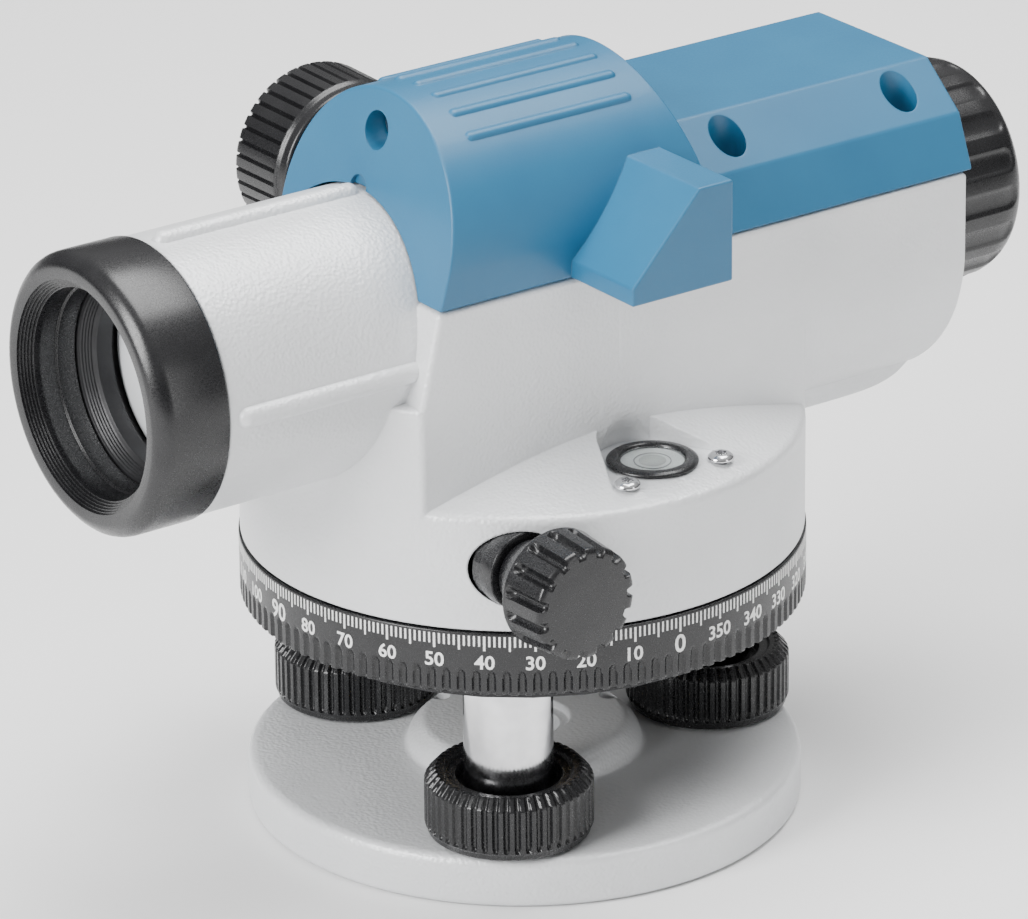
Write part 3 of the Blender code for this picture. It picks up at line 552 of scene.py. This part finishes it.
def wrapped(shape, degree, middle_z):
    """Bends flat lettering or ticks round the circle. Their x runs anticlockwise, their y up."""
    centre = math.radians(DIAL_ZERO - degree)
    for vert in shape.verts:
        angle = centre + vert.co.x / CIRCLE_RADIUS
        radius = CIRCLE_RADIUS + vert.co.z
        height = middle_z + vert.co.y
        vert.co = Vector((radius * math.cos(angle), radius * math.sin(angle), height)) * MM


def tick(shape, degree):
    length = 3.1 if degree % 5 == 0 else 2.2
    width = TICK_WIDTH * (1.15 if degree % 10 == 0 else 1.0)
    bar = bmesh.new()
    bmesh.ops.create_cube(bar, size=1.0)
    bmesh.ops.scale(bar, vec=(width, length, 2 * MARK_RISE), verts=bar.verts)
    wrapped(bar, degree, TICK_TOP - length / 2)
    mesh = bpy.data.meshes.new("tick")
    bar.to_mesh(mesh)
    bar.free()
    shape.from_mesh(mesh)
    bpy.data.meshes.remove(mesh)


def dial_number(shape, degree):
    height = 3.9 if degree % 90 == 0 else 3.0
    text = bpy.data.curves.new("number", "FONT")
    text.body = str(degree)
    text.extrude = 0.02
    text.resolution_u = 3
    text.offset = 0.018
    drawn = bpy.data.objects.new("number", text)
    bpy.context.scene.collection.objects.link(drawn)
    graph = bpy.context.evaluated_depsgraph_get()
    mesh = bpy.data.meshes.new_from_object(drawn.evaluated_get(graph))
    bpy.data.objects.remove(drawn, do_unlink=True)
    letters = bmesh.new()
    letters.from_mesh(mesh)
    bmesh.ops.remove_doubles(letters, verts=letters.verts, dist=0.0001)
    lows = [min(vert.co[axis] for vert in letters.verts) for axis in range(3)]
    highs = [max(vert.co[axis] for vert in letters.verts) for axis in range(3)]
    scale = height / (highs[1] - lows[1])
    for vert in letters.verts:
        vert.co.x = (vert.co.x - (lows[0] + highs[0]) / 2) * scale
        vert.co.y = (vert.co.y - (lows[1] + highs[1]) / 2) * scale
        vert.co.z = MARK_RISE if vert.co.z > 0 else -MARK_RISE
    wrapped(letters, degree, NUMBER_MIDDLE)
    letters.to_mesh(mesh)
    letters.free()
    shape.from_mesh(mesh)
    bpy.data.meshes.remove(mesh)


def graduation():
    """White degree marks, with a number at every tenth."""
    shape = bmesh.new()
    for degree in range(360):
        tick(shape, degree)
        if degree % 10 == 0:
            dial_number(shape, degree)
    marks = as_object("circle_graduation", shape)
    complete(marks, GRADUATION_WHITE, "black_plastic", "circle", sharp=30)


# ---- Housing ------------------------------------------------------------------------------

def cone_height(radius):
    return DRUM_RIM + CONE_SLOPE * (DRUM_RADIUS - radius)


def front_plane_x(height):
    return FRONT_X + FRONT_LEAN * (height - CREASE_Z)


def screw_places():
    return [(x, y) for x in SCREW_XS for y in (-SCREW_Y, SCREW_Y)]


def bar(name, low, high, radius, centre):
    """Straight bar along X with round ends."""
    tip = arc((high - radius, 0), radius, 0, 90, 6)
    tail = arc((low + radius, 0), radius, 90, 180, 6)
    profile = [(abs(up), along) for along, up in tip + tail]
    profile[0] = (0, high)
    profile[-1] = (0, low)
    return lathe(name, profile, "X", centre, 20, 0)


def rib_on_tube(name, rear, degrees):
    turn = math.radians(degrees)
    reach = TUBE_RADIUS - 0.4
    centre = (0, reach * math.cos(turn), AXIS_Z + reach * math.sin(turn))
    return bar(name, TUBE_RIB_FRONT, rear, TUBE_RIB_RADIUS, centre)


def housing_outside():
    drum_profile = [(0, cone_height(0)), (DRUM_RADIUS, DRUM_RIM), (DRUM_RADIUS, DRUM_BOTTOM),
                    (0, DRUM_BOTTOM)]
    body = lathe("housing_casting", drum_profile, segments=180, reach=[0, 1.5, 0.5, 0])
    side = math.degrees(math.asin((SIDE_Y - 0.02) / DRUM_RADIUS))
    reach = DRUM_RADIUS - 0.02
    core_outline = arc((0, 0), reach, -side, side, 20) + arc((0, 0), reach, 180 - side, 180 + side, 20)
    core = prism("core", core_outline, "Z", 70, CREASE_Z, 1.0)
    top = PARTING_Z - 0.15
    half = SIDE_Y + 0.1
    rear_outline = [(half, top), (-half, top)] + arc((0, BELLY_Z), BELLY_RADIUS, 180, 360, 60)
    rear = prism("rear_body", rear_outline, "X", 0, REAR_X, 1.1)
    front_outline = [(FRONT_X + 0.4, CREASE_Z - 6), (FRONT_X, CREASE_Z),
                     (front_plane_x(top), top - 0.02), (4, top - 0.02), (4, CREASE_Z - 6)]
    front = prism("front_body", front_outline, "Y", -SIDE_Y + 0.04, SIDE_Y - 0.04, 1.2)
    underside = [Vector(pair) for pair in (
        (30, 90), (30, KEEL_BOTTOM), (77, KEEL_BOTTOM + 0.2), (84, KEEL_BOTTOM + 1.6),
        (88.4, KEEL_BOTTOM + 4.6), (88.4, 90))]
    keel = prism("keel", eased(underside, [0, 0, 8, 4, 0, 0], steps=8), "Y", -KEEL_HALF, KEEL_HALF, 0.8)
    tube = rod("tube", TUBE_RADIUS, TUBE_FRONT, TUBE_REAR, "X", TELESCOPE, 160, 0.5)
    lug = block("cover_lug", (-26, -8.5, AXIS_Z + 20), (TUBE_REAR, 3.5, 155.4), 0.6)
    ribs = [rib_on_tube("top_rib", -39.0, 90), rib_on_tube("near_rib", -43.5, 180),
            rib_on_tube("far_rib", -43.5, 0)]
    return carve(body, "UNION", core, rear, front, keel, tube, lug, *ribs)


def vial_recess():
    """Level floor sunk into the shoulder, with a round back wall scooped into the side."""
    x, y = VIAL
    outline = [(x - 20.5, -62), (x + 22.5, -62), (x + 9.3, y + 5.0)]
    outline += arc((x, y + 2.2), 9.7, 17, 163, 16) + [(x - 9.3, y + 5.0)]
    floor = prism("recess_floor", outline, "Z", VIAL_FLOOR, 96)
    scoop = [(0, 97.5), (6.2, 97.5), (9.7, VIAL_FLOOR + 0.02), (0, VIAL_FLOOR + 0.02)]
    return [prism_below_wall(floor), lathe("recess_scoop", scoop, centre=(x, y + 2.2, 0), segments=64,
                                           reach=0)]


def prism_below_wall(floor):
    """Keeps the recess out of the side wall, which only the scoop enters."""
    keep = block("keep", (-60, -80, 80), (60, -SIDE_Y, 99))
    return carve(floor, "INTERSECT", keep)


def housing():
    body = housing_outside()
    inner = SIDE_Y - HOUSING_WALL
    room = block("body_room", (-36.6, -inner, 104), (ROOM_REAR, inner, 126))
    posts = []
    for x, y in screw_places():
        low, high = sorted((y, math.copysign(SIDE_Y, y)))
        posts.append(rod("screw_post", SCREW_POST, 100, 130, centre=(x, y, 0), segments=32))
        posts.append(block("post_web", (x - 1.5, low, 100), (x + 1.5, high, 130)))
    carve(room, "DIFFERENCE", *posts)
    cuts = [
        rod("drum_room", DRUM_RADIUS - 4, 50, 80.5, segments=96),
        rod("tube_bore", TUBE_BORE, -95, 28, "X", TELESCOPE, 96),
        room,
        block("compensator_room", (27, -19, 90), (ROOM_REAR, 19, 106)),
        rod("eyepiece_seat", 14.0, 80, 95, "X", TELESCOPE, 64),
        rod("lug_hole", 1.9, -30, -15, "X", (0, *FRONT_SCREW), 24),
        rod("focus_notch", 6.6, 20, 45, "Y", FOCUS_AXIS, 48),
        rod("drive_hole", 8.2, -70, 70, "Y", DRIVE_AXIS, 64),
        rod("vial_seat", 8.3, 81.8, 100, centre=(*VIAL, 0), segments=64),
    ]
    cuts += [rod("screw_pilot", 1.9, 112, 130, centre=(x, y, 0), segments=24) for x, y in screw_places()]
    cuts += [rod("vial_pilot", 1.5, 82, 90, centre=(VIAL[0] + x, VIAL_SCREW_Y, 0), segments=24)
             for x in (-VIAL_SCREW_X, VIAL_SCREW_X)]
    cuts += vial_recess()
    carve(body, "DIFFERENCE", *cuts)
    made_of("silver_paint", body, "alidade", "main_housing", sharp=30, weighted=True)


def drive_hole_collars():
    """Black plastic collars that line the two drive holes in the drum."""
    for side, title in ((-1, "near"), (1, "far")):
        collar = ring(f"drive_collar_{title}", 8.05, 7.2, side * 43.0, side * 47.0, "Y", DRIVE_AXIS, 64,
                      0.2)
        made_of("black_plastic", collar, "alidade")


# ---- Top cover ----------------------------------------------------------------------------

def dome(shrink=0.0, reach=0.0):
    """Ribbed front of the cover, or with a shrink the room inside it."""
    radius = DOME_RADIUS - shrink
    middle = DOME_TOP - DOME_RADIUS
    low = PARTING_Z + 0.15 - (5 if shrink else 0)
    half = SIDE_Y - shrink
    outline = [(half, low), (half, DOME_FLANGE_TOP - shrink)]
    outline += arc((DOME_Y, middle), radius, 0, 180, 60) + [(-half, low)]

    def lean(point):
        if point.x < 0.5:
            return Vector((front_plane_x(point.z) + shrink, point.y, point.z))
        return Vector((DOME_REAR_TOP + DOME_REAR_LEAN * (point.z - DOME_TOP) - shrink, point.y, point.z))

    return prism("dome_room" if shrink else "cover_shell", outline, "X", 0, 1, reach, lean)


def roof_outline(shrink=0.0):
    low = PARTING_Z + 0.15 - (5 if shrink else 0)
    far = [(SIDE_Y - shrink, low), (COVER_SHOULDER_HALF - shrink, COVER_SHOULDER - shrink * 0.6),
           (COVER_FLAT_HALF - shrink * 0.4, COVER_TOP - shrink)]
    return far + [(-y, z) for y, z in reversed(far)]


def dome_ribs():
    middle = DOME_TOP - DOME_RADIUS
    ribs = []
    for number, degrees in enumerate(DOME_RIB_ANGLES):
        turn = math.radians(degrees)
        reach = DOME_RADIUS - DOME_RIB_SINK
        ribs.append(bar(f"dome_rib_{number}", *DOME_RIB_ENDS, DOME_RIB_RADIUS,
                        (0, DOME_Y - reach * math.sin(turn), middle + reach * math.cos(turn))))
    return ribs


def cover():
    low = PARTING_Z + 0.15
    shell = dome(reach=0.5)
    rear = prism("rear_cover", roof_outline(), "X", 0, COVER_REAR, 0.5)
    front, rear_end = HOOD_ENDS
    hood_side = [(front, low), (front, 128.6), (4.9, HOOD_TOP), (rear_end, HOOD_TOP), (rear_end, low)]
    hood = prism("mirror_hood", hood_side, "Y", MIRROR_HOOD_Y, -20, 0.45)
    carve(shell, "UNION", rear, hood, *dome_ribs())
    room_side = [(front + WALL, low - 5), (front + WALL, 127.7), (5.8, HOOD_TOP - WALL),
                 (20, HOOD_TOP - WALL), (20, low - 5)]
    hood_room = prism("hood_room", room_side, "Y", MIRROR_HOOD_Y + WALL, -SIDE_Y - 2 * GAP)
    rear_room = prism("rear_room", roof_outline(WALL), "X", 2, COVER_REAR - WALL)
    columns = [rod("screw_column", SCREW_POST, 100, 160, centre=(x, y, 0), segments=32)
               for x, y in screw_places()]
    carve(rear_room, "DIFFERENCE", *columns)
    front_room = dome(WALL)
    carve(front_room, "DIFFERENCE", rod("front_column", 5.4, -50, -26.3, "X", (0, *FRONT_SCREW), 32))
    cuts = [front_room, rear_room, hood_room]
    for x, y in screw_places():
        cuts.append(rod("screw_well", SCREW_WELL, 131, 150, centre=(x, y, 0), segments=48))
        cuts.append(rod("screw_way", 1.9, 120, 133, centre=(x, y, 0), segments=24))
    cuts += [
        rod("front_well", SCREW_WELL, -50, -29, "X", (0, *FRONT_SCREW), 48),
        rod("front_way", 1.9, -35, -20, "X", (0, *FRONT_SCREW), 24),
        rod("eyepiece_gap", 14.3, 80, 95, "X", TELESCOPE, 64),
        rod("tube_gap", TUBE_RADIUS + 0.5, -60, TUBE_REAR + 1, "X", TELESCOPE, 120),
        rod("rib_gap", TUBE_RIB_RADIUS + 0.5, -60, -37.5, "X", (0, 0, AXIS_Z + TUBE_RADIUS + 0.2), 24),
        rod("focus_notch", 6.6, 20, 45, "Y", FOCUS_AXIS, 48),
    ]
    carve(shell, "DIFFERENCE", *cuts)
    made_of("blue_paint", shell, "alidade", "top_cover", sharp=30, weighted=True)


def star_outline(centre, radius):
    """Six-lobed outline of a screw's recess."""
    points = []
    for index in range(48):
        angle = 2 * math.pi * index / 48
        reach = radius * (1 - 0.13 * (1 - math.cos(6 * angle)))
        points.append((centre[0] + reach * math.cos(angle), centre[1] + reach * math.sin(angle)))
    return points


def screws():
    """Cover screws at the bottom of their wells, and the two beside the circular level."""
    for number, (x, y) in enumerate(screw_places(), 1):
        profile = [(0, 133.6), (3.3, 133.6), (3.3, 131.3), (1.6, 131.3), (1.6, 113), (0, 113)]
        screw = lathe(f"cover_screw_turned_{number}", profile, "Z", (x, y, 0), 48, 0.3)
        carve(screw, "DIFFERENCE", prism("star", star_outline((x, y), STAR_RADIUS), "Z", 132.2, 135))
        made_of("steel", screw, "alidade", f"cover_screw_{number}")
    profile = [(0, -15.5), (1.6, -15.5), (1.6, -29.3), (3.3, -29.3), (3.3, -31.6), (0, -31.6)]
    screw = lathe("cover_screw_turned_5", profile, "X", (0, *FRONT_SCREW), 48, 0.3)
    carve(screw, "DIFFERENCE", prism("star", star_outline(FRONT_SCREW, STAR_RADIUS), "X", -33, -30.3))
    made_of("steel", screw, "alidade", "cover_screw_5")
    for number, offset in enumerate((-VIAL_SCREW_X, VIAL_SCREW_X), 1):
        centre = (VIAL[0] + offset, VIAL_SCREW_Y)
        profile = [(0, VIAL_FLOOR + 1.6), (1.9, VIAL_FLOOR + 1.5), (2.6, VIAL_FLOOR + 0.9),
                   (2.7, VIAL_FLOOR + 0.25), (1.2, VIAL_FLOOR + 0.25), (1.2, 82.4), (0, 82.4)]
        screw = lathe(f"vial_screw_turned_{number}", profile, "Z", (*centre, 0), 48, 0.3)
        carve(screw, "DIFFERENCE",
              prism("star", star_outline(centre, 1.35), "Z", VIAL_FLOOR + 0.7, VIAL_FLOOR + 3))
        made_of("chrome", screw, "alidade", f"vial_screw_{number}")


def circular_level():
    """Black bezel, pale bowl with its marked ring, and the bubble under a clear window."""
    centre = (*VIAL, 0)
    seat = VIAL_LOW.z
    profile = [(6.5, VIAL_FLOOR + 0.8), (7.0, VIAL_FLOOR + 1.35), (8.4, VIAL_FLOOR + 1.3),
               (9.2, VIAL_FLOOR + 0.8), (9.2, VIAL_FLOOR + 0.3), (8.0, VIAL_FLOOR + 0.3), (8.0, seat),
               (6.5, seat)]
    bezel = lathe("vial_bezel_turned", profile, centre=centre, reach=0.45)
    made_of("black_plastic", bezel, "alidade", "vial_bezel")
    floor = VIAL_FLOOR
    bowl = rod("vial_bowl", 6.35, seat + 0.4, floor + 0.12, centre=centre, reach=0.1)
    complete(bowl, VIAL_WHITE, "level_fluid", "alidade", "vial_glass")
    mark = ring("vial_mark", 3.75, 3.5, floor + 0.13, floor + 0.19, centre=centre, reach=0)
    complete(mark, VIAL_MARK, "black_plastic", "alidade")
    dome_profile = [(2.7 * math.sin(math.radians(step * 15)), floor + 0.18 + 0.3 * math.cos(
        math.radians(step * 15))) for step in range(7)]
    dome_profile[0] = (0, floor + 0.48)
    dome_profile.append((0, floor + 0.15))
    bubble = lathe("vial_bubble", dome_profile, centre=centre, segments=64, reach=0)
    complete(bubble, BUBBLE, "level_fluid", "alidade")
    window = [(0, floor + 0.95), (3.2, floor + 0.92), (6.4, floor + 0.75), (6.4, floor + 0.56),
              (0, floor + 0.56)]
    lens = lathe("vial_window", window, centre=centre, reach=0)
    made_of("glass", lens, "alidade")


# ---- Knobs --------------------------------------------------------------------------------

def drive_knobs():
    for side, title in ((-1, "near"), (1, "far")):
        inner, outer = DRIVE_KNOB_INNER, DRIVE_KNOB_OUTER
        profile = [
            (0, 47.6), (6.6, 47.6), (8.6, 51.8), (9.7, inner), (11.9, inner), (12.2, inner + 0.5),
            (12.1, inner + 1.1), (11.5, outer - 1.0), (10.7, outer - 0.4), (6, outer - 0.1),
            (0, outer),
        ]
        reaches = [0, 0.4, 3.0, 0.5, 0.3, 0.3, 0.3, 0.5, 0.5, 1.5, 0]
        relief = slots(15, 0.46, 1.55, inner + 1.3, outer, least_radius=10.2, open_high=True)

        def turned_relief(angle, radius, along, relief=relief, side=side):
            return relief(angle, radius, along * side) if along * side > inner + 0.8 else 0.0

        knob = lathe(f"fluted_drive_knob_{title}", [(r, side * y) for r, y in profile], "Y", DRIVE_AXIS,
                     360, reaches, turned_relief, 0.7)
        made_of("black_plastic", knob, "drive_worm", f"drive_knob_{title}", sharp=50)


def focus_knob():
    near, far = FOCUS_LOW.y, FOCUS_HIGH.y
    profile = [
        (0, near + 3.2), (12.5, near + 3.2), (14.2, near + 0.6), (16.4, near), (17.6, near + 0.5),
        (17.75, near + 2.4), (18.35, near + 3.2), (18.6, far - 1.2), (17.9, far - 0.3), (15.5, far),
        (14.6, far - 0.5), (0, far - 0.9),
    ]
    relief = slots(40, 0.30, 0.8, near + 3.4, far, least_radius=16.9, open_high=True)
    knob = lathe("fluted_focus_knob", profile, "Y", FOCUS_AXIS, 480, 0.5, relief, 1.2)
    made_of("black_plastic", knob, "focus_control", "focus_knob", sharp=50)


def eyepiece():
    front, rear = EYE_LOW.x, EYE_HIGH.x
    radius = (EYE_HIGH.y - EYE_LOW.y) / 2
    seat, bore, hole = 97.4, 14.1, 11.4
    profile = [
        (hole, rear - 0.8), (hole + 1, rear), (16.5, rear), (20.2, rear - 1.0), (22.6, rear - 3.0),
        (radius, rear - 6.5), (radius, front + 3), (radius - 0.9, front), (bore, front), (bore, seat),
        (hole, seat),
    ]
    reaches = [0.3, 0.6, 1.4, 1.4, 1.6, 2.0, 1.5, 0.8, 0.3, 0.3, 0.3]
    relief = slots(18, 0.6, 0.7, front + 3.2, rear - 4.0, least_radius=21.0)
    turned = lathe("soft_eyepiece_ring", profile, "X", TELESCOPE, 360, reaches, relief, 0.8)
    made_of("black_plastic", turned, "eyepiece_ring", "eyepiece_ring", sharp=50)


# ---- Objective ----------------------------------------------------------------------------

def objective():
    front, rear = HOOD_LOW.x, HOOD_HIGH.x
    outer = (HOOD_HIGH.y - HOOD_LOW.y) / 2
    profile = [(25.2, rear), (outer, rear), (outer, front + 2.2), (26.3, front + 0.3), (25.4, front),
               (23.2, front + 0.15)]
    reaches = [0.2, 0.4, 1.8, 0.8, 0.3, 0.05]
    for step in range(5):
        inner = 23.2 - 0.42 * step
        profile += [(inner, front + 0.7 + 0.5 * step), (inner - 0.42, front + 0.65 + 0.5 * step)]
        reaches += [0.05, 0.08]
    profile += [(20.9, front + 4), (21.3, -96.4), (20.7, -96.2), (20.7, -92.1), (25.2, -92.1)]
    reaches += [0.3, 0.1, 0.1, 0.2, 0.2]
    hood = lathe("objective_hood_turned", profile, "X", TELESCOPE, 192, reaches)
    made_of("black_plastic", hood, "alidade", "objective_hood", sharp=40)
    bore, lip = 19.9, 18.0
    cell_profile = [(bore, -64), (24.5, -64), (24.5, -91.8), (20.4, -91.8)]
    for step in range(5):
        along = -91.4 + 0.5 * step
        depth = 20.2 - 0.3 * step
        cell_profile += [(depth, along), (depth - 0.3, along + 0.25)]
    cell_profile += [(lip, -88.8), (lip, -85.3), (bore, -85.3)]
    cell = lathe("objective_cell_turned", cell_profile, "X", TELESCOPE, 128, 0.06)
    made_of("black_metal", cell, "alidade", "objective_cell", sharp=25)
    lens_low, lens_high = span("objective_lens")
    radius, bulge = 19.5, 1.8
    front_x = lens_low.x
    line = [(radius * step / 10, lens_high.x - bulge * (step / 10) ** 2) for step in range(11)]
    line += [(radius * step / 10, front_x + bulge * (step / 10) ** 2) for step in range(10, -1, -1)]
    lens = lathe("objective_lens_polished", line, "X", TELESCOPE, 96, 0)
    # The objective lens gets the glass whose pale base colour is a painted reflection.
    complete(lens, LENS_GLASS_PAINTED_REFLECTION, "glass", "alidade", "objective_lens")


# ---- CAD nodes that stay ------------------------------------------------------------------

def paint_kept_nodes():
    """Every CAD node gets the procedural finish of its slot. Those replaced stay hidden."""
    slots_of = {part["node"]: part["material_slot"] for part in frame["record"]["subparts"]}
    for name, obj in frame["nodes"].items():
        obj.data.materials.clear()
        obj.data.materials.append(MATERIALS[slots_of[name]])


# ---- Stage --------------------------------------------------------------------------------

def camera():
    """Long lens from the front left, a little above."""
    azimuth, elevation, roll = (math.radians(angle) for angle in (-35.616, 22.651, -0.593))
    back = Vector((math.sin(azimuth) * math.cos(elevation), -math.cos(azimuth) * math.cos(elevation),
                   math.sin(elevation)))
    right = Vector((math.cos(azimuth), math.sin(azimuth), 0))
    up = back.cross(right)
    turned_right = math.cos(roll) * right + math.sin(roll) * up
    turned_up = -math.sin(roll) * right + math.cos(roll) * up
    target = Vector((-0.00126, 0.00093, 0.0729))
    distance = 1.3285
    data = bpy.data.cameras.new("camera")
    data.sensor_width = 36
    data.lens = 229.7
    data.clip_end = 20
    view = bpy.data.objects.new("camera", data)
    axes = Matrix((turned_right, turned_up, back)).transposed().to_4x4()
    view.matrix_world = Matrix.Translation(target + distance * back) @ axes
    bpy.context.scene.collection.objects.link(view)
    bpy.context.scene.camera = view


def softbox(name, place, size, power, aim=(0, 0, 0.08)):
    data = bpy.data.lights.new(name, "AREA")
    data.shape = "RECTANGLE"
    data.size, data.size_y = size
    data.energy = power
    light = bpy.data.objects.new(name, data)
    light.location = place
    light.rotation_euler = (Vector(aim) - Vector(place)).to_track_quat("-Z", "Y").to_euler()
    bpy.context.scene.collection.objects.link(light)


def stage():
    """Pale floor, a sky that darkens to its edge, and three softboxes."""
    mesh = bpy.data.meshes.new("floor")
    reach = 4.0
    level = -0.0002
    mesh.from_pydata([(-reach, -reach, level), (reach, -reach, level), (reach, reach, level),
                      (-reach, reach, level)], [], [(0, 1, 2, 3)])
    floor = bpy.data.objects.new("floor", mesh)
    bpy.context.scene.collection.objects.link(floor)
    mesh.materials.append(surface("floor_paper", (0.86, 0.86, 0.86), (0.88, 0.88, 0.88), (0.7, 0.8),
                                  patch=400, grain=3, depth=0.01))
    world = bpy.data.worlds.new("studio")
    world.use_nodes = True
    tree = world.node_tree
    background = tree.nodes["Background"]
    direction = tree.nodes.new("ShaderNodeTexCoord")
    parts = tree.nodes.new("ShaderNodeSeparateXYZ")
    fade = tree.nodes.new("ShaderNodeMapRange")
    for socket, value in (("From Min", 0.05), ("From Max", 0.95), ("To Min", 0.10), ("To Max", 0.80)):
        fade.inputs[socket].default_value = value
    tree.links.new(direction.outputs["Generated"], parts.inputs["Vector"])
    tree.links.new(parts.outputs["Z"], fade.inputs["Value"])
    tree.links.new(fade.outputs["Result"], background.inputs["Strength"])
    background.inputs["Color"].default_value = (1, 1, 1, 1)
    bpy.context.scene.world = world
    softbox("key_left", (-1.45, -0.10, 0.80), (0.7, 0.9), 40)
    softbox("top", (0.25, 0.05, 1.25), (0.9, 0.9), 26)
    softbox("strip_front", (0.45, -1.35, 0.35), (0.25, 0.9), 3)


# ---- Assembly -----------------------------------------------------------------------------

paint_kept_nodes()
base_casting()
foot_pieces()
graduated_circle()
graduation()
housing()
drive_hole_collars()
cover()
screws()
circular_level()
drive_knobs()
focus_knob()
eyepiece()
objective()
camera()
stage()
